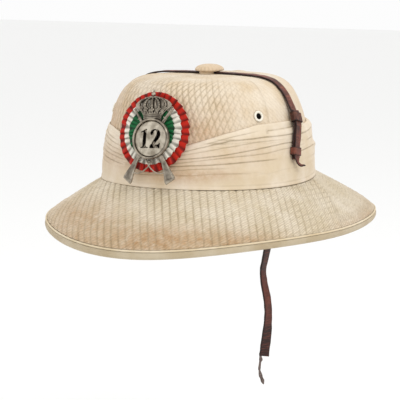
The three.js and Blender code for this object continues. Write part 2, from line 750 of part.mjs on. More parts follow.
// One gathered ribbon: its folds deepen outwards, and the same folds nest in the next ribbon.
function ribbonRing(radius, level) {
  const columns = [];
  for (let i = 0; i < 2 * COCKADE_FOLDS; i++) {
    const turn = (Math.PI * i) / COCKADE_FOLDS;
    const side = i % 2 ? 1 : -1;
    const outer = radius * (1 - 0.015 * side);
    const place = (r, t) =>
      new THREE.Vector3(
        r * Math.cos(turn),
        r * Math.sin(turn),
        level + (side * FOLD_DEPTH * r) / RED_RADIUS + t * RIBBON_THICKNESS,
      );
    columns.push([place(RIBBON_BORE, 0), place(outer, 0), place(outer, 1), place(RIBBON_BORE, 1)]);
  }
  return onCockade(loft(columns, true));
}

const ribbonStep = RIBBON_THICKNESS + 2 * GAP;
const redLevel = FOLD_DEPTH;
const whiteLevel = redLevel + ribbonStep;
const greenLevel = whiteLevel + ribbonStep;
const badgeLevel = greenLevel + RIBBON_THICKNESS + FOLD_DEPTH + GAP;
addPiece("cockade_red", ribbonRing(RED_RADIUS, redLevel), RED_RIBBON);
addPiece("cockade_white", ribbonRing(WHITE_RADIUS, whiteLevel), WHITE_RIBBON);
addPiece("cockade_green", ribbonRing(GREEN_RADIUS, greenLevel), GREEN_RIBBON);

// The badge: a rimmed plate for the disc over crossed rifles, a coronet and a cord, cast as one.
// Its plate hangs below the cockade's middle, with the whole badge turned a little.
function onBadge(form) {
  return form.rotateZ(toRadians(BADGE_TURN)).translate(BADGE_ACROSS, -BADGE_DROP, 0);
}

// A flat form from an outline, standing from the badge's back to a depth.
function cast(outline, depth, holes = []) {
  const shape = new THREE.Shape(outline.map(([u, v]) => new THREE.Vector2(u, v)));
  for (const hole of holes) shape.holes.push(hole);
  const form = new THREE.ExtrudeGeometry(shape, { depth, bevelEnabled: false });
  return form.translate(0, 0, badgeLevel);
}

const rimInside = BADGE_RADIUS - BADGE_RIM;
const plate = lathe(
  [
    [0, badgeLevel],
    [BADGE_RADIUS / 2, badgeLevel],
    [BADGE_RADIUS, badgeLevel],
    [BADGE_RADIUS, badgeLevel + 0.7 * BADGE_DEPTH],
    [BADGE_RADIUS - BADGE_RIM / 2, badgeLevel + BADGE_DEPTH],
    [rimInside, badgeLevel + 0.8 * BADGE_DEPTH],
    [rimInside, badgeLevel + BADGE_PLATE],
    [0, badgeLevel + BADGE_PLATE],
  ],
  32,
);
const shankLength = badgeLevel + COCKADE_STANDOFF - 2 * GAP;
const shank = new THREE.CylinderGeometry(SHANK_RADIUS, SHANK_RADIUS, shankLength, 12);
shank.rotateX(Math.PI / 2).translate(0, 0, badgeLevel + BADGE_PLATE / 2 - shankLength / 2);

// A rifle seen from the side, from its butt up. Columns: share of the length, and the places of
// its two edges as shares of the butt's width.
const RIFLE_EDGES = [
  [0, -0.96, 0.06],
  [0.03, -1, 0.15],
  [0.13, -0.62, 0.15],
  [0.24, -0.28, 0.18],
  [0.3, -0.2, 0.2],
  [0.34, -0.34, 0.2],
  [0.38, -0.18, 0.2],
  [0.5, -0.17, 0.19],
  [0.62, -0.16, 0.18],
  [0.74, -0.15, 0.17],
  [0.86, -0.14, 0.15],
  [0.865, -0.1, 0.11],
  [1, -0.1, 0.1],
];

function rifle(side) {
  const edge = (column) => RIFLE_EDGES.map((row) => [row[column] * RIFLE_BUTT_WIDTH, row[0] * RIFLE_LENGTH]);
  const outline = [...edge(2), ...edge(1).reverse()];
  const form = cast(outline, RELIEF);
  form.translate(0, -RIFLE_CROSSING, 0);
  if (side < 0) form.applyMatrix4(new THREE.Matrix4().makeScale(-1, 1, 1));
  form.rotateZ(side * toRadians(RIFLE_LEAN));
  return side < 0 ? faceOut(mergeVertices(bareOf(form), 1e-4)) : form;
}

// The coronet. Columns: share of the half width, share of the height.
const CORONET_OUTLINE = [
  [0.48, -0.06],
  [0.5, 0.1],
  [0.59, 0.22],
  [0.74, 0.34],
  [1, 0.47],
  [1, 0.58],
  [0.72, 0.73],
  [0.4, 0.81],
  [0, 0.86],
];
const coronetFoot = BADGE_RADIUS - BADGE_RIM / 2;
const coronetPoint = ([u, v], side = 1) => [
  side * u * CORONET_HALF_WIDTH,
  coronetFoot + v * CORONET_HEIGHT,
];
const coronetSides = [
  ...CORONET_OUTLINE.map((p) => coronetPoint(p)),
  ...CORONET_OUTLINE.slice(0, -1).reverse().map((p) => coronetPoint(p, -1)),
];
// Columns: middle of each opening, its half width and half height, as the same shares.
const CORONET_OPENINGS = [
  [-0.68, 0.53, 0.1, 0.09],
  [-0.24, 0.6, 0.13, 0.12],
  [0.24, 0.6, 0.13, 0.12],
  [0.68, 0.53, 0.1, 0.09],
];
const openings = CORONET_OPENINGS.map(([u, v, halfWidth, halfHeight]) => {
  const [x, y] = coronetPoint([u, v]);
  const hole = new THREE.Path();
  hole.absellipse(x, y, halfWidth * CORONET_HALF_WIDTH, halfHeight * CORONET_HEIGHT, 0, 2 * Math.PI);
  return new THREE.Path(hole.getSpacedPoints(10).slice(0, -1));
});
const coronet = cast(coronetSides, RELIEF, openings);

function bar(v, halfWidth, height) {
  const [u, low] = coronetPoint([halfWidth, v]);
  return cast([[-u, low], [u, low], [u, low + height], [-u, low + height]], RELIEF + PEARL_RADIUS / 2);
}

function pearl(u, v, radius) {
  const [x, y] = coronetPoint([u, v]);
  const form = new THREE.SphereGeometry(radius, 6, 4);
  return form.translate(x, y, badgeLevel + RELIEF);
}

const ARCH_PEARLS = 5;
const pearls = [pearl(0, 0.93, 1.9 * PEARL_RADIUS), pearl(0, 1.05, PEARL_RADIUS)];
for (let i = 0; i < ARCH_PEARLS; i++) {
  const share = (i + 0.5) / ARCH_PEARLS;
  for (const side of [-1, 1]) {
    pearls.push(pearl(side * (0.18 + 0.76 * share), 0.8 - 0.26 * share ** 2, PEARL_RADIUS));
    pearls.push(pearl(side * 0.74 * share, 0.37, PEARL_RADIUS));
  }
}

// The cord below the disc: two bowed strands that cross. Columns: shares of the plate's radius.
const CORD_ROUTE = [
  [-0.2, -0.93],
  [-0.08, -1.17],
  [0.05, -1.36],
  [0.36, -1.6],
  [0.64, -1.68],
  [0.92, -1.6],
];

function cord(side) {
  const level = badgeLevel + CORD_RADIUS * 2;
  const points = CORD_ROUTE.map(
    ([u, v]) => new THREE.Vector3(side * u * BADGE_RADIUS, v * BADGE_RADIUS, level),
  );
  const route = new THREE.CatmullRomCurve3(points);
  const section = new THREE.Shape();
  section.absellipse(0, 0, CORD_RADIUS, CORD_RADIUS, 0, 2 * Math.PI);
  const ring = new THREE.Shape(section.getSpacedPoints(6).slice(0, -1));
  return new THREE.ExtrudeGeometry(ring, { steps: 10, extrudePath: route });
}

// The recess that holds the disc, cleared of the rifles that cross behind it.
const recessFloor = badgeLevel + BADGE_PLATE;
const recess = new THREE.CylinderGeometry(rimInside - GAP / 2, rimInside - GAP / 2, 2 * BADGE_DEPTH, 32);
recess.rotateX(Math.PI / 2).translate(0, 0, recessFloor + BADGE_DEPTH);

const castForms = [
  plate,
  rifle(1),
  rifle(-1),
  coronet,
  bar(0.02, 0.48, CORONET_BAND),
  bar(0.14, 0.53, 0.75 * CORONET_BAND),
  ...pearls,
  cord(1),
  cord(-1),
].map(onBadge);
// The shank runs back through the ribbons' bore.
const badgeFrame = joinAll([...castForms, shank]).subtract(solid(onBadge(recess)));
addPiece("badge_frame", onCockade(geometryOf(badgeFrame)), TARNISHED_SILVER);

// The domed disc with a plain number pierced through it
const discEdge = recessFloor + GAP;
const discRadius = rimInside - 2 * GAP;
const discDome = (share) => DISC_DOME * (1 - share ** 2);
const discShares = [0, 0.35, 0.7, 1];
const disc = lathe(
  [
    ...discShares.map((share) => [share * discRadius, discEdge + discDome(share)]),
    ...discShares
      .map((share) => [share * discRadius, discEdge + discDome(share) + DISC_THICKNESS])
      .reverse(),
  ],
  28,
);

// Outlines of the figures 1 and 2, as shares of their height from the foot's middle.
const FIGURE_ONE = [
  [-0.17, 0],
  [0.17, 0],
  [0.17, 0.08],
  [0.08, 0.1],
  [0.08, 1],
  [-0.02, 1],
  [-0.2, 0.86],
  [-0.2, 0.8],
  [-0.06, 0.83],
  [-0.06, 0.1],
  [-0.17, 0.08],
];
const FIGURE_TWO = [
  [-0.27, 0],
  [0.27, 0],
  [0.27, 0.24],
  [0.2, 0.24],
  [0.17, 0.15],
  [-0.07, 0.15],
  [0.14, 0.42],
  [0.25, 0.6],
  [0.25, 0.8],
  [0.16, 0.94],
  [0, 1],
  [-0.16, 0.95],
  [-0.25, 0.82],
  [-0.22, 0.68],
  [-0.1, 0.68],
  [-0.09, 0.84],
  [0, 0.9],
  [0.09, 0.84],
  [0.1, 0.62],
  [0, 0.42],
  [-0.27, 0.1],
];
const FIGURE_SPREAD = 0.33;

function figure(outline, side) {
  const place = ([u, v]) => [u + side * FIGURE_SPREAD, v - 0.5];
  const points = outline.map((point) => place(point).map((share) => share * FIGURE_HEIGHT));
  return solid(cast(points, BADGE_DEPTH + DISC_DOME + DISC_THICKNESS));
}

const pierced = solid(disc).subtract(figure(FIGURE_ONE, -1)).subtract(figure(FIGURE_TWO, 1));
addPiece("badge_disc", onCockade(onBadge(geometryOf(pierced))), TARNISHED_SILVER);

export default helmet;
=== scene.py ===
import math
import bpy
import numpy as np
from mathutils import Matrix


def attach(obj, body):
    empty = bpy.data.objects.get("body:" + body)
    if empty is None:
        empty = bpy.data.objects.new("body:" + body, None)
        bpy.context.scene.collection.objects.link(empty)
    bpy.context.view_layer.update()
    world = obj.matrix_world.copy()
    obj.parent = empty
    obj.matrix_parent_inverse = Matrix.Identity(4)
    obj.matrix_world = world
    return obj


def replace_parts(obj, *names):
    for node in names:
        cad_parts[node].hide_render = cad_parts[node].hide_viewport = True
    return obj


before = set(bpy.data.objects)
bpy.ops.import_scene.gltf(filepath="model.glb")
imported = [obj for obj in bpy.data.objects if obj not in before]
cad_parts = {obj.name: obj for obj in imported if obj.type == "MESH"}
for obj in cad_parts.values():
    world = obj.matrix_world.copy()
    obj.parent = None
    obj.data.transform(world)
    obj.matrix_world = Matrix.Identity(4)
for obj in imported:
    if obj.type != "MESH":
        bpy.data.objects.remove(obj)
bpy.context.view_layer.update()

# Studio. The helmet is held up at the angle at which a head wears it, in a plain white room with
# soft light from above and from the wearer's left. The floor is far enough below for the strap.
CAMERA_AZIMUTH = math.radians(30)
CAMERA_ELEVATION = math.radians(8.32)
CAMERA_DISTANCE = 1.4147
FRAME_PIXELS = 400
FOCAL_PIXELS = 1499.6
HELMET_PIXEL = (209.5, 171.7)
FLOOR_HEIGHT = -0.36
SENSOR = 36


def to_linear(colour):
    """An sRGB hex colour as linear red, green, blue and 1."""
    shares = [int(colour[i : i + 2], 16) / 255 for i in (1, 3, 5)]
    linear = [s / 12.92 if s <= 0.04045 else ((s + 0.055) / 1.055) ** 2.4 for s in shares]
    return (*linear, 1.0)


def finish(name):
    """A new material, its node tree and its surface shader."""
    material = bpy.data.materials.new(name)
    material.use_nodes = True
    return material, material.node_tree, material.node_tree.nodes["Principled BSDF"]


scene = bpy.context.scene
scene.view_settings.view_transform = "Standard"
lens = bpy.data.cameras.new("camera")
lens.sensor_width = SENSOR
lens.lens = FOCAL_PIXELS * SENSOR / FRAME_PIXELS
lens.shift_x = -(HELMET_PIXEL[0] - FRAME_PIXELS / 2) / FRAME_PIXELS
lens.shift_y = (HELMET_PIXEL[1] - FRAME_PIXELS / 2) / FRAME_PIXELS
camera = bpy.data.objects.new("camera", lens)
camera.location = (
    CAMERA_DISTANCE * math.sin(CAMERA_AZIMUTH) * math.cos(CAMERA_ELEVATION),
    -CAMERA_DISTANCE * math.cos(CAMERA_AZIMUTH) * math.cos(CAMERA_ELEVATION),
    CAMERA_DISTANCE * math.sin(CAMERA_ELEVATION),
)
camera.rotation_euler = (math.pi / 2 - CAMERA_ELEVATION, 0, CAMERA_AZIMUTH)
scene.collection.objects.link(camera)
scene.camera = camera

# Columns: name, place in metres, side of the square light in metres, watts.
LIGHTS = [
    ("key_light", (1.5, -1.0, 1.7), 1.1, 16),
    ("fill_light", (-1.6, -1.6, 0.9), 1.8, 1.5),
    ("top_light", (0.2, 0.4, 2.0), 1.2, 5),
]
for name, place, side, watts in LIGHTS:
    light = bpy.data.lights.new(name, "AREA")
    light.size = side
    light.energy = watts
    lamp = bpy.data.objects.new(name, light)
    lamp.location = place
    # A lamp shines along its own -Z, so that axis is turned to the helmet.
    x, y, z = place
    lamp.rotation_euler = (math.atan2(math.hypot(x, y), z), 0, math.atan2(x, -y))
    scene.collection.objects.link(lamp)

world = bpy.data.worlds.new("white_room")
world.use_nodes = True
world.node_tree.nodes["Background"].inputs["Color"].default_value = to_linear("#ffffff")
world.node_tree.nodes["Background"].inputs["Strength"].default_value = 0.98
scene.world = world

floor_mesh = bpy.data.meshes.new("floor")
floor_mesh.from_pydata([(-9, -9, 0), (9, -9, 0), (9, 9, 0), (-9, 9, 0)], [], [(0, 1, 2, 3)])
floor = bpy.data.objects.new("floor", floor_mesh)
floor.location.z = FLOOR_HEIGHT
scene.collection.objects.link(floor)
# Matt white paint on board has no gloss, so only the helmet's soft shadow shows on it.
matt_white, tree, surface = finish("matt_white_floor")
surface.inputs["Base Color"].default_value = to_linear("#f6f6f5")
surface.inputs["Roughness"].default_value = 0.9
floor.data.materials.append(matt_white)

# Crown. Pressed cork under a cotton cover, which is sewn to its backing in a net of diamonds, so
# it puffs up between the stitches. The quilting flattens out towards the top and behind the side
# seams. One wall, with a plain cotton lining inside, painted dark for the shade inside the crown.
HALF_LENGTH = 106.5
HALF_WIDTH = 92.5
CROWN_HEIGHT = 90
CROWN_DOME = 3
CROWN_WALL = 7
CROWN_LEAN = -2.5
CROWN_TAPER = 1.73
CROWN_FLATNESS = 8.3
JOINT_FRONT = -0.2
JOINT_BACK = 1.7
JOINT_SIDE = -3.2
GAP = 0.3
CLOTH_RADIUS = 100
MM_PER_DEGREE = 1.75
GORE_SEAMS = (70, 180)
GORE_SEAM_FOOT = 40
GORE_SEAM_TOP = 150
GORE_SEAM_RIDGE = 0.9
DIAMOND_WIDTH = 6.1
DIAMOND_LENGTH = 14.2
QUILT_DEPTH = 1.0
SETTLED = 0.3
UNEVENNESS = 0.35
# The quilting fades out from here, over this far: in degrees from the front, and in millimetres up.
FADE_ROUND = (34, 26)
FADE_UP = (86, 34)
CROWN_COLUMNS = 540
CROWN_STEP = 1.2
EYELET_ANGLE = 63.6
EYELET_HEIGHT = 60.4
EYELET_BORE = 3.7


def loft(name, rows, ring=False, marks=None, cloth=None, lined_from=None):
    """A closed mesh through loops of points in millimetres. Without ring its two ends are
    filled. marks are numbers at the points, and cloth the places on the flat cloth. From the
    loop lined_from on, the faces take the second material."""
    rows = np.asarray(rows, float)
    count, across = rows.shape[:2]
    r, c = np.meshgrid(np.arange(count if ring else count - 1), np.arange(across), indexing="ij")
    after, beside = (r + 1) % count, (c + 1) % across
    corners = [(r, c), (r, beside), (after, beside), (after, c)]
    quads = np.stack([i * across + j for i, j in corners], -1).reshape(-1, 4)
    points = rows.reshape(-1, 3)
    tips = []
    if not ring:
        ends = [rows[0].mean(0), rows[-1].mean(0)]
        near = np.arange(across)
        beyond = (near + 1) % across
        last = (count - 1) * across
        tips += [(count * across, b, a) for a, b in zip(near, beyond)]
        tips += [(count * across + 1, last + a, last + b) for a, b in zip(near, beyond)]
        points = np.vstack([points, ends])
    p = points[quads]
    volume = np.einsum("ij,ij->", p[:, 0], np.cross(p[:, 1], p[:, 2]) + np.cross(p[:, 2], p[:, 3]))
    if tips:
        t = points[np.array(tips)]
        volume += np.einsum("ij,ij->", t[:, 0], np.cross(t[:, 1], t[:, 2]))
    order = [0, 1, 2, 3] if volume > 0 else [3, 2, 1, 0]
    faces = quads[:, order].tolist() + [tip if volume > 0 else tip[::-1] for tip in tips]
    mesh = bpy.data.meshes.new(name)
    mesh.from_pydata((points / 1000).tolist(), [], faces)
    for mark, values in (marks or {}).items():
        spread = np.broadcast_to(values, (count, across)).ravel()
        padded = np.concatenate([spread, np.zeros(len(points) - count * across)])
        mesh.attributes.new(mark, "FLOAT", "POINT").data.foreach_set("value", padded)
    if cloth is not None:
        beyond = np.minimum(r + 1, count - 1)
        flat = [(r, c), (r, c + 1), (beyond, c + 1), (beyond, c)]
        laid = np.stack([cloth[i, j] for i, j in flat], 2).reshape(-1, 4, 2)
        laid = laid[:, order].reshape(-1, 2)
        values = np.zeros((len(mesh.loops), 3))
        values[: len(laid), :2] = laid
        layer = mesh.attributes.new("cloth", "FLOAT_VECTOR", "CORNER")
        layer.data.foreach_set("vector", values.ravel())
    mesh.shade_smooth()
    if lined_from is not None:
        lining = np.zeros(len(faces), int)
        lining[lined_from * across : len(quads)] = 1
        if not ring:
            lining[len(quads) + across :] = 1
        mesh.polygons.foreach_set("material_index", lining)
    piece = bpy.data.objects.new(name, mesh)
    scene.collection.objects.link(piece)
    return piece


def crown_reach(level):
    """The crown's radius at a share of its height, as a share of the radius at its foot."""
    return (1 - np.clip(level, 0, 1) ** CROWN_TAPER) ** (1 / CROWN_FLATNESS)


def crown_level(reach):
    """The share of the crown's height at a share of its radius."""
    return (1 - reach**CROWN_FLATNESS) ** (1 / CROWN_TAPER)


def crown_point(angle, level, reach, grow):
    """Points of the crown's outside, grown outwards."""
    x = (HALF_WIDTH + grow) * reach * np.sin(angle)
    y = -(HALF_LENGTH + grow) * reach * np.cos(angle) + CROWN_LEAN * level
    z = (CROWN_HEIGHT + grow) * level + CROWN_DOME * (1 - reach**2)
    return np.stack(np.broadcast_arrays(x, y, z), -1)


def joint_height(angle):
    """Height of the line where crown and brim join."""
    ends = np.where(np.cos(angle) > 0, JOINT_FRONT, JOINT_BACK)
    return JOINT_SIDE + (ends - JOINT_SIDE) * np.cos(angle) ** 2


def ripple(place, seed, size):
    """Smooth, repeatable unevenness from -1 to 1 with lumps of a size in millimetres."""
    random = np.random.default_rng(seed)
    total = np.zeros(np.shape(place)[:-1])
    for _ in range(9):
        way = random.normal(size=np.shape(place)[-1])
        way *= random.uniform(0.6, 1.6) * math.pi / (size * np.linalg.norm(way))
        total += np.sin(place @ way + random.uniform(0, 6.3))
    return total / 4.5


def quilt(u, v, width, length):
    """Relief of diamond quilting on flat cloth, 0 in the middle of a diamond and -1 at a seam, and
    how dark its seams are, for dust and painted shade."""
    slope = width / length
    seams = [np.abs(np.sin(math.pi * (u + side * v * slope) / width)) for side in (-1, 1)]
    relief = np.minimum(*seams) ** 0.5 * 0.65 + (seams[0] * seams[1]) ** 0.5 * 0.35 - 1
    return relief, np.clip(1.25 - 2.4 * np.minimum(*seams), 0, 1)


def blots(across, up, table):
    """Stains on a surface. Columns of the table: their middle across and up, their half sizes
    across and up, and their strength."""
    total = np.zeros(np.broadcast(across, up).shape)
    for middle, height, half, tall, strength in table:
        turn = (across - middle + 180) % 360 - 180
        total += strength * np.exp(-((turn / half) ** 2) - ((up - height) / tall) ** 2)
    return np.clip(total, 0, 1)


# The profile from foot to top, with its length measured along the cloth.
side_levels = np.linspace(0, 0.9, 900)
top_reaches = np.linspace(crown_reach(0.9), 0, 900)[1:]
profile_level = np.concatenate([side_levels, crown_level(top_reaches)])
profile_reach = np.concatenate([crown_reach(side_levels), top_reaches])
profile = np.stack([CLOTH_RADIUS * profile_reach, CROWN_HEIGHT * profile_level], -1)
steps = np.linalg.norm(np.diff(profile, axis=0), axis=1)
profile_run = np.concatenate([[0], np.cumsum(steps)])

crown_angle = np.linspace(0, 2 * math.pi, CROWN_COLUMNS, endpoint=False)
wrapped = np.linspace(0, 2 * math.pi, CROWN_COLUMNS + 1)
degrees = (np.degrees(crown_angle) + 180) % 360 - 180
# The scarf hides the crown's foot, so its rows are coarse there.
run = np.concatenate([[0, 7, 14, 21], np.arange(27, profile_run[-1] - 2, CROWN_STEP)])
level = np.interp(run, profile_run, profile_level)[:, None]
reach = np.interp(run, profile_run, profile_reach)[:, None]

# Each panel of the cover was quilted flat: u runs round from its middle and v up from its foot.
front = np.abs(degrees) < GORE_SEAMS[0]
middle = np.where(front, 0, np.sign(degrees) * (GORE_SEAMS[0] + GORE_SEAMS[1]) / 2)
narrowing = 0.25 + 0.75 * reach
u = np.radians(degrees - middle) * CLOTH_RADIUS * narrowing
v = run[:, None] * np.ones(CROWN_COLUMNS)
to_seam = np.minimum(np.abs(np.abs(degrees) - GORE_SEAMS[0]), 180 - np.abs(degrees))
fading = np.clip((np.abs(degrees) - FADE_ROUND[0]) / FADE_ROUND[1], 0, 1)
strength = np.where(front, 1 - 0.85 * fading, 0.1)
strength = strength * (1 - 0.8 * np.clip((v - FADE_UP[0]) / FADE_UP[1], 0, 1))
relief, seam_dust_and_shade = quilt(u, v, DIAMOND_WIDTH, DIAMOND_LENGTH)
to_seam = to_seam * MM_PER_DEGREE
seam_ridge = GORE_SEAM_RIDGE * np.exp(-((to_seam / 2.2) ** 2))
seam_ridge = seam_ridge * np.clip((v - GORE_SEAM_FOOT) / 10, 0, 1)
seam_ridge = seam_ridge * np.clip((GORE_SEAM_TOP - v) / 40, 0, 1)
place = crown_point(crown_angle, level, reach, 0)
height = QUILT_DEPTH * strength * (relief + 0.25) + seam_ridge
height = height + UNEVENNESS * ripple(place, 1, 26) - SETTLED
outer = crown_point(crown_angle, level, reach, height)
outer[0] = crown_point(crown_angle, 0, 1, 0)
outer[0, :, 2] = joint_height(crown_angle) + GAP

inner_run = np.concatenate([[0], np.arange(8, profile_run[-1] - 2, 7)])
inner_level = np.interp(inner_run, profile_run, profile_level)[:, None]
inner_reach = np.interp(inner_run, profile_run, profile_reach)[:, None]
inner = crown_point(crown_angle, inner_level, inner_reach, -CROWN_WALL)
inner[0, :, 2] = joint_height(crown_angle) + GAP

# Tan at the left of the cockade and beneath it, from hands and sun. Columns as blots wants them.
CROWN_STAINS = [
    (-40, 55, 22, 22, 0.55),
    (28, 48, 16, 16, 0.65),
    (-75, 70, 30, 18, 0.25),
    (45, 70, 12, 10, 0.15),
    (150, 50, 60, 20, 0.3),
]
rows = np.concatenate([outer[::-1], inner])
soil = blots(degrees, outer[..., 2], CROWN_STAINS)
# The quilting seams are darkened for dust and painted shade, the side seams for dirt.
gore_dirt = 0.5 * np.exp(-(to_seam**2)) * (v > GORE_SEAM_FOOT)
dust_and_shade = seam_dust_and_shade * np.clip(1.2 * strength, 0, 1) + gore_dirt
plain = np.zeros(inner.shape[:2])
cloth = np.zeros((len(rows), CROWN_COLUMNS + 1, 2))
cloth[: len(outer), :, 0] = (wrapped * CLOTH_RADIUS * narrowing)[::-1]
cloth[: len(outer), :, 1] = run[::-1, None]
crown = loft(
    "quilted_crown",
    rows,
    marks={
        "soil": np.concatenate([soil[::-1], plain]),
        "dust_and_shade": np.concatenate([dust_and_shade[::-1], plain]),
    },
    cloth=cloth,
    lined_from=len(outer) - 1,
)


def seat_on_crown(angle, height):
    """Place, and unit vectors along, up and out, where a fitting sits on the crown."""
    level = height / CROWN_HEIGHT
    points = [
        crown_point(a, lv, crown_reach(lv), 0)
        for a, lv in ((angle, level), (angle + 0.01, level), (angle, level + 0.01))
    ]
    along = points[1] - points[0]
    along /= np.linalg.norm(along)
    out = np.cross(along, points[2] - points[0])
    out /= np.linalg.norm(out)
    return points[0], along, np.cross(out, along), out


def lathe(profile, segments):
    """Loops of points round the Z axis from a profile of radius and height."""
    turn = np.linspace(0, 2 * math.pi, segments, endpoint=False)
    return [
        np.stack([r * np.cos(turn), r * np.sin(turn), np.full(segments, z)], -1) for r, z in profile
    ]


def seated(rows, seat):
    """Loops of points set on a seat, with their own Z pointing out of it."""
    origin, along, up, out = seat
    return [origin + row @ np.stack([along, up, out]) for row in rows]


# The two ventilation holes are punched through cover and cork.
for side in (1, -1):
    seat = seat_on_crown(side * math.radians(EYELET_ANGLE), EYELET_HEIGHT)
    punch = loft("punch", seated(lathe([(EYELET_BORE, -14), (EYELET_BORE, 8)], 32), seat))
    cut = crown.modifiers.new("punch", "BOOLEAN")
    cut.operation = "DIFFERENCE"
    cut.solver = "EXACT"
    cut.object = punch
    graph = bpy.context.evaluated_depsgraph_get()
    punched = bpy.data.meshes.new_from_object(crown.evaluated_get(graph))
    crown.modifiers.clear()
    crown.data = punched
    bpy.data.objects.remove(punch)


def add(tree, kind, inputs=None, **settings):
    """Adds a node, sets it up, and fills or links its inputs. Where a node's inputs share a name,
    they go by number: 6 and 7 are the colours of a mix, and 1 to 4 the limits of a range."""
    node = tree.nodes.new(kind)
    for name, value in settings.items():
        setattr(node, name, value)
    for name, value in (inputs or {}).items():
        if isinstance(value, bpy.types.NodeSocket):
            tree.links.new(value, node.inputs[name])
        else:
            node.inputs[name].default_value = value
    return node


# A wave texture at scale 1 repeats over this length.
WAVE_PERIOD = 2 * math.pi / 20


def cotton(name, clean, aged, stain, thread, sheen, stitch=0.0):
    """Woven cotton cloth, matt and faintly fuzzy. It takes its stains from the mark soil. A second
    mark darkens it with dust in its seams and with painted shade in its seams, folds and gathers.
    thread is the spacing of the weave in millimetres: real cotton has 0.4, which is too fine to
    show, so it is drawn about twice as coarse."""
    material, tree, surface = finish(name)
    place = add(tree, "ShaderNodeTexCoord").outputs["Object"]
    laid = add(tree, "ShaderNodeAttribute", attribute_name="cloth").outputs["Vector"]
    soil = add(tree, "ShaderNodeAttribute", attribute_name="soil").outputs["Fac"]
    dust_and_shade = add(tree, "ShaderNodeAttribute", attribute_name="dust_and_shade").outputs["Fac"]
    # Sun and wear change the colour in patches of about 30 mm and in blots of about 6 mm.
    patches = add(
        tree,
        "ShaderNodeTexNoise",
        {"Vector": place, "Scale": 1000 / 30, "Detail": 5.0, "Roughness": 0.62},
    )
    blotches = add(
        tree,
        "ShaderNodeTexNoise",
        {"Vector": place, "Scale": 1000 / 6, "Detail": 6.0, "Roughness": 0.7},
    )
    ageing = add(tree, "ShaderNodeMapRange", {0: patches.outputs["Fac"], 1: 0.38, 2: 0.64})
    body = add(
        tree,
        "ShaderNodeMix",
        {0: ageing.outputs[0], 6: to_linear(clean), 7: to_linear(aged)},
        data_type="RGBA",
    )
    uneven = add(
        tree, "ShaderNodeMapRange", {0: blotches.outputs["Fac"], 1: 0.3, 2: 0.72, 3: 0.45, 4: 1.3}
    )
    soaked = add(
        tree,
        "ShaderNodeMath",
        {0: soil, 1: uneven.outputs[0]},
        operation="MULTIPLY",
        use_clamp=True,
    )
    stained = add(
        tree,
        "ShaderNodeMix",
        {0: soaked.outputs[0], 6: body.outputs[2], 7: to_linear(stain)},
        data_type="RGBA",
    )
    # Dust and painted shade darken the seams and folds, more in some places than in others.
    patchy_darkening = add(
        tree, "ShaderNodeMapRange", {0: patches.outputs["Fac"], 1: 0.3, 2: 0.7, 3: 0.25, 4: 0.85}
    )
    lodged_dust_and_shade = add(
        tree,
        "ShaderNodeMath",
        {0: dust_and_shade, 1: patchy_darkening.outputs[0]},
        operation="MULTIPLY",
        use_clamp=True,
    )
    dusted_and_shaded = add(
        tree,
        "ShaderNodeMix",
        {0: lodged_dust_and_shade.outputs[0], 6: stained.outputs[2], 7: to_linear("#8f7b5c")},
        data_type="RGBA",
    )
    # Quilted cloth is darned all over with short slanting stitches, 2.8 mm apart.
    slanting = add(
        tree, "ShaderNodeMapping", {"Vector": laid, "Rotation": (0.0, 0.0, math.radians(-52))}
    )
    stitches = add(
        tree,
        "ShaderNodeTexWave",
        {
            "Vector": slanting.outputs[0],
            "Scale": WAVE_PERIOD / 2.8,
            "Distortion": 5.0,
            "Detail": 3.0,
            "Detail Scale": 2.5,
        },
        bands_direction="X",
    )
    sunk = add(
        tree,
        "ShaderNodeMapRange",
        {0: stitches.outputs["Fac"], 1: 0.05, 2: 0.55, 3: stitch, 4: 0.0},
    )
    darned = add(
        tree,
        "ShaderNodeMix",
        {0: sunk.outputs[0], 6: dusted_and_shaded.outputs[2], 7: to_linear("#a08b6b")},
        data_type="RGBA",
    )
    tree.links.new(darned.outputs[2], surface.inputs["Base Color"])
    warp, weft = (
        add(
            tree,
            "ShaderNodeTexWave",
            {"Vector": laid, "Scale": WAVE_PERIOD / thread, "Distortion": 0.6, "Detail": 1.0},
            bands_direction=way,
        )
        for way in ("X", "Y")
    )
    weave = add(
        tree, "ShaderNodeMath", {0: warp.outputs["Fac"], 1: weft.outputs["Fac"]}, operation="ADD"
    )
    fuzz = add(
        tree,
        "ShaderNodeMath",
        {0: blotches.outputs["Fac"], 1: 2.5, 2: weave.outputs[0]},
        operation="MULTIPLY_ADD",
    )
    bump = add(
        tree, "ShaderNodeBump", {"Height": fuzz.outputs[0], "Strength": 0.35, "Distance": 0.0002}
    )
    pulled = add(
        tree,
        "ShaderNodeBump",
        {
            "Height": sunk.outputs[0],
            "Normal": bump.outputs["Normal"],
            "Strength": 0.8,
            "Distance": -0.0015,
        },
    )
    tree.links.new(pulled.outputs["Normal"], surface.inputs["Normal"])
    surface.inputs["Roughness"].default_value = 0.92
    surface.inputs["Sheen Weight"].default_value = sheen
    surface.inputs["Sheen Roughness"].default_value = 0.6
    surface.inputs["Specular IOR Level"].default_value = 0.25
    return material


# Sun-bleached drill, tan where it was handled, and lightly darned.
quilted_drill = cotton("quilted_cotton_drill", "#e1d3be", "#d5c0a1", "#bf9468", 0.9, 0.1, 0.12)
# The lining is painted dark brown for the shade inside the crown.
shaded_lining = cotton("shaded_cotton_lining", "#6d6450", "#5f5744", "#514836", 0.9, 0.05)
crown.data.materials.append(quilted_drill)
crown.data.materials.append(shaded_lining)
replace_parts(crown, "crown")
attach(crown, "root")

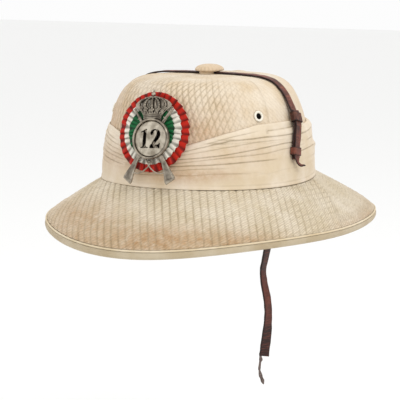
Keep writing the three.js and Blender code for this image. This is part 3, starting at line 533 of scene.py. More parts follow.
# Brim. The same cotton over a cork board, cut as one big piece for the front and sides and one
# for the back. Its quilting lines are straight on the flat cloth, so they fan out over the cone.
RIM_FRONT = 164
RIM_BACK = 191
RIM_SIDE = 149.5
RIM_DROP_FRONT = 53
RIM_DROP_SIDE = 44
RIM_DROP_BACK = 53.5
RIM_DIAGONAL_LIFT = 2.7
BRIM_THICKNESS = 6.5
STRAIGHT_REACH = 0.72
STRAIGHT_DROP = 0.58
LINING = 1
PIPING_RADIUS = 0.9
PIPING_HEIGHT = 6.2
HEM = 4.5
BRIM_COLUMNS = 800
BRIM_ROWS = 78
SLOPE_SHARE = 0.7
BEND_SHARE = 0.3
BRIM_QUILT = 6.6
BRIM_QUILT_DEPTH = 0.9
BRIM_QUILT_TURN = math.radians(26)
REAR_ROWS = 4.2
HEM_STITCH = 3
HEM_STITCH_INSET = 9
WELT_HEIGHT = 0.8
DARN_HEIGHT = 0.22
DARN_SIZE = 2.8
BRIM_UNEVENNESS = 0.5
BRIM_SETTLED = 0.25
CONE_RADIUS = 104
CONE_SLOPE = math.radians(40)
BRIM_SLANT = 70
BRIM_MM_PER_DEGREE = 2.1
# The side seam runs from the crown forward to the rim: degrees from the front at joint and rim.
SIDE_SEAM = (107, 80)

angle = np.linspace(0, 2 * math.pi, BRIM_COLUMNS, endpoint=False)
cos, sin = np.cos(angle), np.sin(angle)


def plan(half_width, half_length):
    """An oval seen from above, x and y of its points."""
    return np.stack([half_width * sin, -half_length * cos], -1)


brim_inner = plan(HALF_WIDTH + HEM, HALF_LENGTH + HEM)
brim_opening = plan(HALF_WIDTH - CROWN_WALL, HALF_LENGTH - CROWN_WALL)
brim_outer = plan(RIM_SIDE, np.where(cos > 0, RIM_FRONT, RIM_BACK))
rim_drop = np.where(cos > 0, RIM_DROP_FRONT, RIM_DROP_BACK)
rim_low = -RIM_DROP_SIDE - (rim_drop - RIM_DROP_SIDE) * cos**2
rim_low = rim_low + RIM_DIAGONAL_LIFT * np.sin(2 * angle) ** 2
brim_top = joint_height(angle)
brim_width = np.linalg.norm(brim_inner - brim_outer, axis=1)
brim_drop = brim_top - rim_low
bend_from = np.stack([STRAIGHT_REACH * brim_width, -STRAIGHT_DROP * brim_drop], -1)
bend_corner = bend_from / STRAIGHT_REACH
bend_to = np.stack([brim_width, BRIM_THICKNESS / 2 - brim_drop], -1)


def brim_place(across, height):
    """A ring of points at distances across the brim from the joint, and heights over it."""
    share = (across / brim_width)[:, None]
    flat = brim_inner + (brim_outer - brim_inner) * share
    return np.concatenate([flat, (brim_top + height)[:, None]], 1)


def brim_face(s, offset):
    """A ring of points on the outer face, 0 to 1 on the slope and 1 to 2 round the bend."""
    s = np.broadcast_to(s, (BRIM_COLUMNS,))[:, None]
    bend = np.maximum(s - 1, 0)
    curve = bend_from * (1 - bend) ** 2 + bend_corner * 2 * bend * (1 - bend) + bend_to * bend**2
    at = np.where(s < 1, bend_from * s, curve)
    along = (bend_corner - bend_from) * (1 - bend) + (bend_to - bend_corner) * bend
    along = np.where(s < 1, bend_from, along)
    along = along / np.linalg.norm(along, axis=1)[:, None]
    return brim_place(at[:, 0] + along[:, 1] * offset, at[:, 1] - along[:, 0] * offset)


def brim_edge(turn, offset):
    """A ring round the lower edge, from the outer face at 0 to the inner face at 1."""
    radius = BRIM_THICKNESS / 2 - offset
    bend = math.pi * turn
    across = brim_width - BRIM_THICKNESS / 2 + radius * math.cos(bend)
    return brim_place(across, bend_to[:, 1] - radius * math.sin(bend))


def brim_seat(depth):
    """A ring round the board's edge in the head opening, at a depth below the joint."""
    return np.concatenate([brim_opening, (brim_top - depth)[:, None]], 1)


# Share of the bend at which the piping lies, and the half width that it takes there. The bend is a
# parabola, so the share at the piping's height solves a quadratic.
squared = bend_from[:, 1] - 2 * bend_corner[:, 1] + bend_to[:, 1]
linear = 2 * (bend_corner[:, 1] - bend_from[:, 1])
constant = bend_from[:, 1] - (PIPING_HEIGHT - brim_drop)
root = np.sqrt(linear * linear - 4 * squared * constant)
piping_seam = 1 + (2 * constant) / (-linear + root)
past_piping = brim_face(piping_seam + 0.01, 0) - brim_face(piping_seam, 0)
seam_rate = np.linalg.norm(past_piping, axis=1) / 0.01
seam_step = (PIPING_RADIUS + GAP) / seam_rate

board_end = piping_seam - seam_step
shares = np.array(
    [
        np.where(
            t < SLOPE_SHARE,
            t / SLOPE_SHARE,
            1 + (t - SLOPE_SHARE) / BEND_SHARE * (board_end - 1),
        )
        for t in np.linspace(0, 1, BRIM_ROWS)
    ]
)
bare = np.array([brim_face(s, 0) for s in shares])
slope_steps = np.linalg.norm(np.diff(bare, axis=0), axis=2)
slant = np.concatenate([np.zeros((1, BRIM_COLUMNS)), np.cumsum(slope_steps, 0)])

# Flat cloth: the cone is rolled out round the front.
joint_steps = np.linalg.norm(np.diff(brim_inner, axis=0), axis=1)
around = np.concatenate([[0], np.cumsum(joint_steps)])
girth = around[-1] + np.linalg.norm(brim_inner[0] - brim_inner[-1])
around = (around + girth / 2) % girth - girth / 2
cone = CONE_RADIUS / math.cos(CONE_SLOPE)
turn = around / cone
flat_x = (cone + slant) * np.sin(turn)
flat_y = (cone + slant) * np.cos(turn)
degrees = (np.degrees(angle) + 180) % 360 - 180
seam_at = SIDE_SEAM[0] + (SIDE_SEAM[1] - SIDE_SEAM[0]) * (slant / BRIM_SLANT) ** 0.9
past_seam = (np.abs(degrees) - seam_at) * BRIM_MM_PER_DEGREE
front_piece = 1 / (1 + np.exp(past_seam / 0.8))
quilt_x = flat_x * math.cos(BRIM_QUILT_TURN)
quilt_y = flat_y * math.sin(BRIM_QUILT_TURN)
lines = [np.abs(np.sin(math.pi * (quilt_x + side * quilt_y) / BRIM_QUILT)) for side in (-1, 1)]
# The seams that run up and down in front were pulled tight. The others only show at the sides.
loose = 0.22 + 0.22 * np.clip((np.abs(degrees) - 45) / 30, 0, 1)
tight = 1 - 0.45 * np.clip((degrees - 45) / 30, 0, 1)
pulled = [(1 - line**0.45) * weight for line, weight in zip(lines, (tight, loose))]
brim_relief = -np.maximum(*pulled) - 0.3 * np.minimum(*pulled)
# The seams are darkened for dust and for the painted shade in them.
darkened = [np.clip(1.2 - 2.6 * line, 0, 1) for line in lines]
brim_seam_dust_and_shade = np.maximum(darkened[0] * tight, darkened[1] * loose)
# Wear has left less dust in the seams in places, and their painted shade varies with it.
wear = ripple(np.stack([flat_x, flat_y], -1), 9, 34)
brim_seam_dust_and_shade = brim_seam_dust_and_shade * np.clip(1.05 + 0.5 * wear, 0.4, 1.4)
# Rows of flat stitches hold the rear piece, and a row of long ones its hem.
rear_lines = np.abs(np.sin(math.pi * slant / REAR_ROWS)) ** 0.4 - 1
hem_row = np.exp(-(((slant - slant[-1] + HEM_STITCH_INSET) / 4) ** 4))
hem_stitch = np.clip(2 * np.sin(2 * math.pi * around / HEM_STITCH) - 0.8, 0, 1) * hem_row
rear_relief = 0.2 * rear_lines - 0.5 * hem_stitch
depth = BRIM_QUILT_DEPTH * brim_relief * front_piece + rear_relief * (1 - front_piece)
# The darning puckers the cloth in short slanting ridges.
slanting_cloth = np.stack([flat_x + flat_y, 0.35 * (flat_x - flat_y)], -1)
depth = depth + DARN_HEIGHT * ripple(slanting_cloth, 8, DARN_SIZE)
folded_edge = np.exp(-(((past_seam + 2.2) / 2.0) ** 4))
welt = 0.9 * folded_edge - 0.5 * np.exp(-(((past_seam - 0.6) / 0.7) ** 2))
ends = np.clip(slant / 3, 0, 1)
lift = depth + WELT_HEIGHT * welt * ends + BRIM_UNEVENNESS * ripple(bare, 2, 38) - BRIM_SETTLED
lift = lift * np.clip((shares[-1] - shares) / 0.03 + 0.15, 0, 1)
outer = np.array([brim_face(s, -h) for s, h in zip(shares, lift)])

# Tan and ochre towards the front edge and at the wearer's left. Columns as blots wants them, with
# millimetres down the slope in place of up.
BRIM_STAINS = [
    (18, 56, 24, 15, 0.75),
    (-25, 44, 24, 22, 0.55),
    (46, 62, 12, 9, 0.5),
    (84, 60, 8, 12, 0.2),
    (-10, 68, 50, 9, 0.35),
    (102, 62, 14, 8, 0.4),
    (-90, 50, 50, 20, 0.35),
    (165, 60, 50, 20, 0.4),
]
rebate = LINING + GAP
board = BRIM_THICKNESS - rebate
under = [
    brim_face(board_end, rebate),
    brim_face(2, rebate),
    *[brim_edge(t, rebate) for t in (0.25, 0.5, 0.75)],
    *[brim_face(s, board) for s in (2, 1.5, 1, 0.5, 0)],
    brim_seat(board),
]
rows = np.concatenate([[brim_seat(0)], outer, under])
soil = np.zeros(rows.shape[:2])
soil[1 : len(outer) + 1] = blots(degrees, slant, BRIM_STAINS)
dust_and_shade = np.zeros(rows.shape[:2])
marked = brim_seam_dust_and_shade * front_piece + (0.45 * (rear_lines < -0.5) + hem_stitch) * (1 - front_piece)
seam_dirt = 0.6 * np.exp(-(((past_seam - 0.6) / 1.0) ** 2))
dust_and_shade[1 : len(outer) + 1] = np.clip(marked + seam_dirt, 0, 1)
cloth = np.zeros((len(rows), BRIM_COLUMNS + 1, 2))
cloth[1 : len(outer) + 1, :-1] = np.stack([around * (1 + slant / cone), slant], -1)
cloth[:, -1] = cloth[:, -2]
brim = loft("quilted_brim", rows, ring=True, marks={"soil": soil, "dust_and_shade": dust_and_shade}, cloth=cloth)
# The same drill with more sun and rain: more of its darning shows.
brim_drill = cotton("weathered_brim_drill", "#ded2bd", "#d1c2a6", "#ad8354", 0.9, 0.1, 0.3)
brim.data.materials.append(brim_drill)
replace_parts(brim, "brim")
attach(brim, "root")

# Underside. Plain cotton glued under the board and turned up round its edge, to end under the
# piping. Round the edge it stands off the board in a soft roll, most of all in front.
HEM_ROLL = 2.0
roll = HEM_ROLL * (0.3 + 0.7 * np.exp(-(((degrees + 25) / 55) ** 2)))
inside = BRIM_THICKNESS - LINING
strip_start = piping_seam + seam_step
hem_shares = [strip_start + (2 - strip_start) * t for t in np.linspace(0, 1, 8)]
pucker = 0.25 * np.sin(around / 4.5 + 2 * np.sin(around / 31)) * np.sin(around / 23)
strip = [
    brim_face(s, -0.25 * pucker * math.sin(math.pi * t))
    for s, t in zip(hem_shares, np.linspace(0, 1, 8))
]
rows = np.array(
    [
        brim_seat(inside),
        *[brim_face(s, inside) for s in (0, 0.25, 0.5, 0.75, 1, 1.25, 1.5, 1.75, 2)],
        *[brim_edge(t, LINING) for t in (0.75, 0.5, 0.25)],
        brim_face(2, LINING),
        brim_face(strip_start, LINING),
        *strip,
        *[
            brim_edge(t, -roll * math.sin(math.pi * t))
            for t in (0.12, 0.25, 0.38, 0.5, 0.62, 0.75, 0.88)
        ],
        *[brim_face(s, BRIM_THICKNESS) for s in np.linspace(2, 0, 20)],
        brim_seat(BRIM_THICKNESS),
    ]
)
soil = 0.35 * np.clip(ripple(rows, 3, 30) + 0.2, 0, 1)
cloth = np.zeros((len(rows), BRIM_COLUMNS + 1, 2))
cloth[:, :-1, 0] = around
cloth[:, -1, 0] = around[-1]
cloth[..., 1] = np.arange(len(rows))[:, None] * 3.0
underside = loft("brim_lining", rows, ring=True, marks={"soil": soil}, cloth=cloth)
# Plain cotton, greyer than the drill because it lies in the shade.
pale_drill = cotton("pale_cotton_lining", "#c4b69d", "#b6a587", "#9c835f", 0.9, 0.08)
underside.data.materials.append(pale_drill)
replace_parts(underside, "brim_underside")
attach(underside, "root")

# Piping. A cotton cord in a folded cotton strip, sewn along the rim, where it hides the raw edges
# of both cloths.
CORD_TWIST = 0.9
sink = rebate - GAP - PIPING_RADIUS
piping_rows = []
for t in np.linspace(0, 2 * math.pi, 10, endpoint=False):
    bulge = PIPING_RADIUS * (1 + 0.06 * np.sin(around / CORD_TWIST))
    piping_rows.append(
        brim_face(piping_seam + bulge / seam_rate * math.sin(t), sink - bulge * math.cos(t))
    )
piping = loft("rim_cord", piping_rows, ring=True)
# The strip is rubbed smooth and tan along the rim.
piping_cotton = cotton("piping_cotton", "#dccdb2", "#cbb794", "#a98453", 0.8, 0.1)
piping.data.materials.append(piping_cotton)
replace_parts(piping, "rim_piping")
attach(piping, "root")

# Pugaree. A long scarf of soft cotton wound round the crown in folds, plain at its foot. It dips
# to a V behind the cockade, and its last turn steps down behind the eyelets.
PUGAREE_HEIGHT = 54
PUGAREE_PLAIN = 20
PUGAREE_BULK = 3.2
HEM_STRIP = 3.2
EDGE_ROUNDING = 1.4
SCARF_COLUMNS = 480
SCARF_RADIUS = 102
# Columns: degrees from the front towards the wearer's left, share of the height at the edge.
PUGAREE_LINE = [
    (-180, 0.93),
    (-120, 0.9),
    (-97, 0.89),
    (-62, 0.9),
    (-38, 0.9),
    (-22, 0.83),
    (-8, 0.62),
    (4, 0.57),
    (14, 0.63),
    (22, 0.7),
    (40, 0.86),
    (62, 1),
    (99, 1),
    (103, 0.89),
    (130, 0.91),
    (180, 0.93),
]
# Where the last turn ends, a thinner layer shows above this height. Degrees from and to, height.
UNDER_LAYER = (66.5, 101, 47.4)
# Folds: depth in millimetres, then degrees and height of the points each one runs through.
FOLDS = [
    (1.0, (8, 29), (24, 34.4), (45, 41.4), (64, 43.4), (98, 42)),
    (0.5, (7, 26), (24, 31), (40, 36), (60, 39), (80, 39.5)),
    (1.0, (4, 24), (26, 27), (50, 31.6), (78, 35.5), (96, 36)),
    (0.6, (2, 21), (24, 24.2), (45, 27.2), (68, 29.5)),
    (0.9, (0, 18), (24, 21.1), (48, 21.8), (72, 23)),
    (0.5, (4, 14.5), (26, 17.4), (44, 18)),
    (0.6, (26, 37.4), (45, 44.4), (62, 49)),
    (0.5, (60, 27.5), (76, 31), (98, 31.5)),
    (0.4, (14, 11.5), (34, 13.2), (56, 12)),
    (0.5, (-14, 10.5), (8, 12), (24, 12.6)),
    (1.4, (-84, 28.5), (-45, 22.7), (-16, 17.5)),
    (1.0, (-84, 31.5), (-45, 27), (-14, 22)),
    (1.2, (-84, 35.5), (-45, 31.5), (-14, 25.5)),
    (0.9, (-84, 38.5), (-45, 35.4), (-18, 29.5)),
    (1.2, (-84, 42), (-45, 39.6), (-20, 34)),
    (0.8, (-84, 45), (-45, 43.4), (-24, 38.5)),
    (0.5, (-72, 23), (-50, 18.6), (-28, 15.5)),
    (0.9, (84, 41), (130, 43.5), (180, 42), (230, 43.5), (282, 41)),
    (1.0, (100, 34), (140, 36), (180, 33), (230, 35), (290, 33)),
    (0.8, (82, 26), (130, 28), (180, 25), (240, 28), (288, 25)),
    (0.5, (104, 18), (150, 20), (200, 18), (256, 20)),
]
# Creases and loose loops. Columns: degrees, height, half sizes across and up, and how far out.
DENTS = [
    (38, 39.5, 5, 0.9, -0.9),
    (44, 42, 3.5, 0.8, -0.7),
    (121, 46, 7, 6, 1.6),
    (116, 27, 4, 2.2, 1.6),
    (112, 22, 16, 9, 1.3),
    (-118, 40, 14, 9, 1.2),
]
scarf_angle = np.linspace(0, 2 * math.pi, SCARF_COLUMNS, endpoint=False)
degrees = (np.degrees(scarf_angle) + 180) % 360 - 180
# The edge is averaged over the degrees nearby, which rounds its corners.
nearby = np.arange(-4, 5) * 0.4
edge_share = np.mean(
    [np.interp((degrees + n + 180) % 360 - 180, *zip(*PUGAREE_LINE)) for n in nearby], 0
)
top = PUGAREE_HEIGHT * edge_share
foot = joint_height(scarf_angle) + GAP
share = np.concatenate([[0, 0.012, 0.03, 0.045, 0.06, 0.075], np.linspace(0.09, 1, 108)])
z = foot + (top - foot) * share[:, None]


def round_crown(angle, height, grow):
    """Points at a height round the crown, grown outwards from it."""
    level = np.clip(height / CROWN_HEIGHT, 0, 1)
    level = np.where(height < 0, 0, level)
    point = crown_point(angle, level, crown_reach(level), 0)
    x = point[..., 0] + grow * np.sin(angle)
    y = point[..., 1] - grow * np.cos(angle)
    return np.stack([x, y, np.broadcast_to(height, x.shape)], -1)


hem_line = foot + HEM_STRIP
bulk = PUGAREE_BULK + 0.4 * np.sin(math.pi * np.clip((z - foot) / PUGAREE_PLAIN, 0, 1))
grow = bulk + (HEM - 0.15 - bulk) / (1 + np.exp((z - hem_line) / 0.6))
shadow = np.exp(-(((z - hem_line - 0.4) / 0.5) ** 2)) * (
    0.15 + 0.35 * np.clip((degrees - 20) / 40, 0, 1)
)
for fold_depth, *course in FOLDS:
    bearings, heights = zip(*course)
    half = (bearings[-1] - bearings[0]) / 2
    along = (degrees - bearings[0] - half + 180) % 360 - 180
    line = np.interp(along + bearings[0] + half, bearings, heights)
    line = line + 0.35 * np.sin(np.radians(degrees * 7 + 100 * fold_depth + heights[0] * 40))
    gone = np.clip((half - np.abs(along)) / 9, 0, 1) ** 0.7
    past = z - line
    fold = np.where(past > 0, np.exp(-past / 2.6), 0) - 0.6 * np.exp(-((past / 0.7) ** 2))
    grow = grow + 0.8 * fold_depth * gone * fold
    shadow = shadow + 1.5 * fold_depth * gone * np.exp(-(((past + 0.2) / 0.42) ** 2))
for middle, high, half, tall, out in DENTS:
    near = ((degrees - middle + 180) % 360 - 180) / half
    mark = np.exp(-(near**2) - ((z - high) / tall) ** 2)
    grow = grow + out * mark
    shadow = shadow + (0.9 * mark if out < 0 else 0)
# Fine wrinkles run with the cloth, long across and short up.
lying = np.stack([degrees[None] * 1.7 + z, z * 9], -1)
wrinkle = ripple(lying, 5, 30)
pinch = np.exp(-((wrinkle / 0.1) ** 2)) * np.clip(ripple(lying, 6, 90), 0, 1)
pinch = pinch * np.clip((z - 6) / 8, 0, 1)
grow = grow + 0.2 * wrinkle * np.clip((z - 6) / 10, 0, 1) - 0.35 * pinch
shadow = shadow + 0.5 * pinch
over_edge = ((z - (top - EDGE_ROUNDING)) / EDGE_ROUNDING).clip(0, 1)
rounding = np.sqrt(np.clip(1 - over_edge**2, 0, 1))
# On the wearer's right the edge is pulled in flat against the crown.
pulled_in = np.exp(-(((degrees + 62) / 36) ** 2))
near_edge = np.clip((z - (top - 7)) / 7, 0, 1)
flat_edge = 0.35 + 0.3 * pulled_in
grow = grow - 1.7 * pulled_in * np.clip((z - 14) / 30, 0, 1)
grow = grow * (1 - flat_edge * near_edge) * (0.25 + 0.75 * rounding)
start, stop, under_height = UNDER_LAYER
beyond = np.clip((degrees - start) / 1.2, 0, 1) * np.clip((stop - degrees) / 3, 0, 1)
ledge = under_height + 0.03 * (degrees - start)
upper = beyond / (1 + np.exp((ledge - z) / 0.22))
grow = grow * (1 - upper) + np.minimum(grow, 1.0 * rounding + 0.3) * upper + GAP
shadow = shadow + 1.3 * beyond * np.exp(-(((z - ledge - 0.5) / 0.5) ** 2))
cut_end = 0.6 * (z > ledge - 2) * np.exp(-(((degrees - start) / 0.8) ** 2))
shadow = shadow + cut_end * np.clip((ledge + 3 - z) / 3, 0, 1)
front_rows = round_crown(scarf_angle, z, grow)
back = [
    round_crown(scarf_angle, foot + (top - foot) * t, GAP + 0 * top)
    for t in (1, 0.75, 0.5, 0.25, 0)
]
rows = np.concatenate([front_rows, back])
# Tan from hands and from the sweat of the brow. Columns as blots wants them.
SCARF_STAINS = [
    (8, 20, 24, 12, 0.45),
    (35, 12, 16, 5, 0.35),
    (15, 10, 20, 6, 0.4),
    (-30, 22, 22, 12, 0.4),
    (48, 30, 26, 12, 0.25),
    (-80, 25, 30, 20, 0.3),
    (160, 25, 60, 20, 0.2),
]
zeros = np.zeros((len(back), SCARF_COLUMNS))
cloth = np.zeros((len(rows), SCARF_COLUMNS + 1, 2))
along = np.broadcast_to(np.radians(degrees) * SCARF_RADIUS, z.shape)
cloth[: len(z), :-1] = np.stack([along, z], -1)
cloth[:, -1] = cloth[:, -2]
pugaree = loft(
    "wound_scarf",
    rows,
    ring=True,
    marks={
        "soil": np.concatenate([blots(degrees, z, SCARF_STAINS), zeros]),
        "dust_and_shade": np.concatenate([np.clip(shadow, 0, 1), zeros]),
    },
    cloth=cloth,
)
# Muslin: softer and finer than the drill, with painted shadow along its folds.
scarf_cotton = cotton("scarf_cotton_muslin", "#e1d3bf", "#d6c4a7", "#b38d66", 0.7, 0.12)
pugaree.data.materials.append(scarf_cotton)
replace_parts(pugaree, "pugaree")
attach(pugaree, "root")

# Top button. A wooden disc under gathered cotton, held by two feet that leave a slot for the
# strap.
BUTTON_RADIUS = 13.5
BUTTON_HEIGHT = 6.4
NECK_LENGTH = 23
NECK_WIDTH = 17.5
STRAP_WIDTH = 10
STRAP_THICKNESS = 1.6
BUTTON_COLUMNS = 96
GATHERS = 24
GATHER_DEPTH = 0.006
# Columns: share of the radius, share of the height.
BUTTON_PROFILE = [
    (0.05, 0.02), (0.3, 0.02), (0.6, 0.01), (0.88, 0.0), (0.97, 0.05), (1.01, 0.15), (1.0, 0.26),
    (0.96, 0.4), (0.89, 0.55), (0.79, 0.69), (0.66, 0.81), (0.5, 0.9), (0.34, 0.96), (0.18, 0.99),
    (0.05, 1.0),
]
crown_top = CROWN_HEIGHT + CROWN_DOME
cap_foot = crown_top + STRAP_THICKNESS + 3 * GAP


def join(pieces, name):
    """One object from several, which keeps their marks and materials."""
    if len(pieces) > 1:
        with bpy.context.temp_override(active_object=pieces[0], selected_editable_objects=pieces):
            bpy.ops.object.join()
    pieces[0].name = name
    return pieces[0]


turn = np.linspace(0, 2 * math.pi, BUTTON_COLUMNS, endpoint=False)
cap_rows = []
cap_gather_shade = []
for radius, height in BUTTON_PROFILE:
    gather = GATHER_DEPTH * np.sin(turn * GATHERS + np.sin(turn * 3)) * radius**3
    r = BUTTON_RADIUS * (radius + gather)
    z = cap_foot + BUTTON_HEIGHT * height + 0.15 * np.sin(turn * 2 + 1) * radius
    cap_rows.append(np.stack([r * np.cos(turn), r * np.sin(turn), z], -1))
    # Painted shade darkens the valleys of the gathers.
    cap_gather_shade.append(np.clip(-60 * gather, 0, 0.35))
cap_cloth = np.zeros((len(cap_rows), BUTTON_COLUMNS + 1, 2))
cap_cloth[:, :-1] = np.stack([[row[:, 0], row[:, 1]] for row in cap_rows]).transpose(0, 2, 1)
cap_cloth[:, -1] = cap_cloth[:, -2]
cap_marks = {"dust_and_shade": np.array(cap_gather_shade), "soil": 0.25}
parts = [loft("button_cap", cap_rows, marks=cap_marks, cloth=cap_cloth)]
for side in (1, -1):
    low = STRAP_WIDTH / 2 + GAP
    reach = math.acos(low / (NECK_LENGTH / 2))
    arc = np.linspace(-reach, reach, 18)
    beside_slot = np.linspace(reach, -reach, 12)[1:-1]
    foot_x = NECK_WIDTH / 2 * np.sin(np.concatenate([arc, beside_slot]))
    foot_y = np.concatenate([NECK_LENGTH / 2 * np.cos(arc), np.full(10, low)])
    rows = [
        np.stack([foot_x, side * foot_y, np.full(28, h)], -1)
        for h in np.linspace(crown_top - 0.4, cap_foot + 0.1, 6)
    ]
    # The feet are painted in shade under the cap, and a little soiled.
    parts.append(loft("button_foot", rows, marks={"dust_and_shade": 0.3, "soil": 0.2}))
button = join(parts, "covered_button")
button.data.materials.append(quilted_drill)
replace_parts(button, "top_button")
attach(button, "root")

# Over-strap. Vegetable-tanned leather that lies over the crown and through the button, with both
# ends hanging free on the pugaree. Its edges are burnished dark and painted darker for the shade
# along them.
STRAP_LOW_END = 19
STRAP_FORWARD = 13
STRAP_TURN = 64
KEEPER_THICKNESS = 0.8


def strap_section(width, thickness):
    """A flat loop with rounded edges across a strap, and how near each point is to an edge."""
    corner = 0.46 * thickness
    flat = np.linspace(width / 2 - corner, -width / 2 + corner, 9)
    bend = np.linspace(math.pi / 2, 3 * math.pi / 2, 7)[1:-1]
    left = np.stack([-width / 2 + corner + corner * np.cos(bend), thickness / 2 * np.sin(bend)], -1)
    top = np.stack([flat, np.full(9, thickness / 2)], -1)
    loop = np.concatenate([top, left, -top, -left])
    return loop, np.exp(-(((width / 2 - np.abs(loop[:, 0])) / 0.75) ** 2))


def strap_rows(middles, across, widths, thickness, seed, wavy):
    """Loops along a strap, and the marks and cloth places that go with them."""
    middles = np.asarray(middles, float)
    across = np.broadcast_to(across, middles.shape)
    along = np.gradient(middles, axis=0)
    along /= np.linalg.norm(along, axis=1)[:, None]
    across = across - np.sum(across * along, 1)[:, None] * along
    across /= np.linalg.norm(across, axis=1)[:, None]
    out = np.cross(across, along)
    run = np.concatenate([[0], np.cumsum(np.linalg.norm(np.diff(middles, axis=0), axis=1))])
    rows, edges, cloth = [], [], []
    for i, width in enumerate(np.broadcast_to(widths, len(middles))):
        loop, edge = strap_section(width, thickness)
        place = middles[i] + loop[:, :1] * across[i] + loop[:, 1:] * out[i]
        shift = wavy * ripple(np.stack([np.full(len(loop), run[i]), loop[:, 0] * 0.3], -1), seed, 9)
        dent = 0.12 * ripple(np.stack([np.full(len(loop), run[i]), loop[:, 0]], -1), seed + 1, 5)
        place += (shift * np.sign(loop[:, 0]) * edge)[:, None] * across[i]
        place += (dent * np.sign(loop[:, 1]))[:, None] * out[i]
        rows.append(place)
        edges.append(edge)
        sides = np.linalg.norm(np.diff(loop, axis=0, append=loop[:1]), axis=1)
        girth = np.concatenate([[0], np.cumsum(sides)])
        cloth.append(np.stack([girth, np.full(len(girth), run[i])], -1))
    return np.array(rows), {"edge": np.array(edges)}, np.array(cloth)


def smooth_share(value, low, high):
    """0 up to low, 1 from high on, and a soft step between them."""
    t = np.clip((value - low) / (high - low), 0, 1)
    return t * t * (3 - 2 * t)


def strap_lift(height, keepers):
    """How far the strap's middle stands off the crown: it rises for the keepers and again to pass
    over the pugaree's edge."""
    share = height / PUGAREE_HEIGHT
    rest = 0.2 + STRAP_THICKNESS / 2
    under_keeper = 2 * GAP + KEEPER_THICKNESS + STRAP_THICKNESS / 2
    lifted = np.clip((1.5 - share) / 0.28, 0, 1) * keepers
    over_scarf = (PUGAREE_BULK + GAP) * np.clip((1.22 - share) / 0.36, 0, 1)
    return rest + (under_keeper - rest) * lifted + over_scarf


def strap_point(side, level, reach, keepers):
    """Points along the strap's middle, which turns forward on its way down."""
    height = CROWN_HEIGHT * level
    forward = -STRAP_FORWARD * smooth_share(-height, -STRAP_TURN, -STRAP_LOW_END)
    point = crown_point(math.pi / 2, level, reach, strap_lift(height, keepers))
    point[..., 0] *= side * np.sqrt(1 - (forward / HALF_LENGTH) ** 2)
    point[..., 1] = forward
    return point


def strap_frame(height):
    """The strap's place on the wearer's left, and the directions along, across and out of it."""
    at = [
        strap_point(1, h / CROWN_HEIGHT, crown_reach(h / CROWN_HEIGHT), 1)
        for h in (height - 2, height, height + 2)
    ]
    up = (at[2] - at[0]) / np.linalg.norm(at[2] - at[0])
    across = np.array([0, 1, 0]) - up[1] * up
    across /= np.linalg.norm(across)
    return at[1], up, across, np.cross(across, up)


def strap_side(side, keepers):
    """The strap's middle from its low end on one side to the button."""
    levels = np.linspace(STRAP_LOW_END / CROWN_HEIGHT, 0.88, 64)
    low = strap_point(side, levels, crown_reach(levels), keepers)
    reaches = np.linspace(0.795, 0.06, 56)
    return np.concatenate([low, strap_point(side, crown_level(reaches), reaches, keepers)])


def leather(name, worn, body, dark, patch_size):
    """Vegetable-tanned leather: dark and dry, with fine creases across it, rubbed lighter on its
    face and burnished dark at its cut edges, which are painted darker still for the shade along
    them. It takes its age from the mark age, and its cut edges from the mark edge."""
    material, tree, surface = finish(name)
    place = add(tree, "ShaderNodeTexCoord").outputs["Object"]
    laid = add(tree, "ShaderNodeAttribute", attribute_name="cloth").outputs["Vector"]
    edge = add(tree, "ShaderNodeAttribute", attribute_name="edge").outputs["Fac"]
    # Patches where oil has darkened it, patch_size in millimetres, creases 1.3 mm apart, and pores
    # 0.8 mm apart, which are drawn about four times as coarse as real ones.
    patches = add(
        tree,
        "ShaderNodeTexNoise",
        {"Vector": place, "Scale": 1000 / patch_size, "Detail": 4.0, "Roughness": 0.6},
    )
    pores = add(tree, "ShaderNodeTexVoronoi", {"Vector": place, "Scale": 1000 / 0.8})
    stretched = add(tree, "ShaderNodeMapping", {"Vector": laid, "Scale": (0.12, 1.0, 1.0)})
    creases = add(
        tree,
        "ShaderNodeTexNoise",
        {"Vector": stretched.outputs[0], "Scale": 1 / 1.3, "Detail": 5.0, "Roughness": 0.7},
    )
    old = add(tree, "ShaderNodeAttribute", attribute_name="age").outputs["Fac"]
    dried = add(
        tree,
        "ShaderNodeMath",
        {0: old, 1: 0.35, 2: patches.outputs["Fac"]},
        operation="MULTIPLY_ADD",
    )
    oiled = add(tree, "ShaderNodeMapRange", {0: dried.outputs[0], 1: 0.36, 2: 0.62})
    base = add(
        tree,
        "ShaderNodeMix",
        {0: oiled.outputs[0], 6: to_linear(body), 7: to_linear(dark)},
        data_type="RGBA",
    )
    rubbed = add(
        tree, "ShaderNodeMapRange", {0: creases.outputs["Fac"], 1: 0.48, 2: 0.7, 3: 0.0, 4: 0.75}
    )
    face = add(
        tree,
        "ShaderNodeMix",
        {0: rubbed.outputs[0], 6: base.outputs[2], 7: to_linear(worn)},
        data_type="RGBA",
    )
    # Burnished edges, painted near black for the shade along them as well.
    burnished_and_shaded = add(tree, "ShaderNodeMath", {0: edge, 1: 0.95}, operation="MULTIPLY")
    colour = add(
        tree,
        "ShaderNodeMix",
        {0: burnished_and_shaded.outputs[0], 6: face.outputs[2], 7: to_linear("#1a0c0a")},
        data_type="RGBA",
    )
    tree.links.new(colour.outputs[2], surface.inputs["Base Color"])
    gloss = add(
        tree, "ShaderNodeMapRange", {0: creases.outputs["Fac"], 1: 0.3, 2: 0.7, 3: 0.42, 4: 0.66}
    )
    tree.links.new(gloss.outputs[0], surface.inputs["Roughness"])
    grain = add(
        tree,
        "ShaderNodeMath",
        {0: creases.outputs["Fac"], 1: 2.0, 2: pores.outputs["Distance"]},
        operation="MULTIPLY_ADD",
    )
    bump = add(
        tree, "ShaderNodeBump", {"Height": grain.outputs[0], "Strength": 0.5, "Distance": 0.0002}
    )
    tree.links.new(bump.outputs["Normal"], surface.inputs["Normal"])
    surface.inputs["Specular IOR Level"].default_value = 0.3
    return material


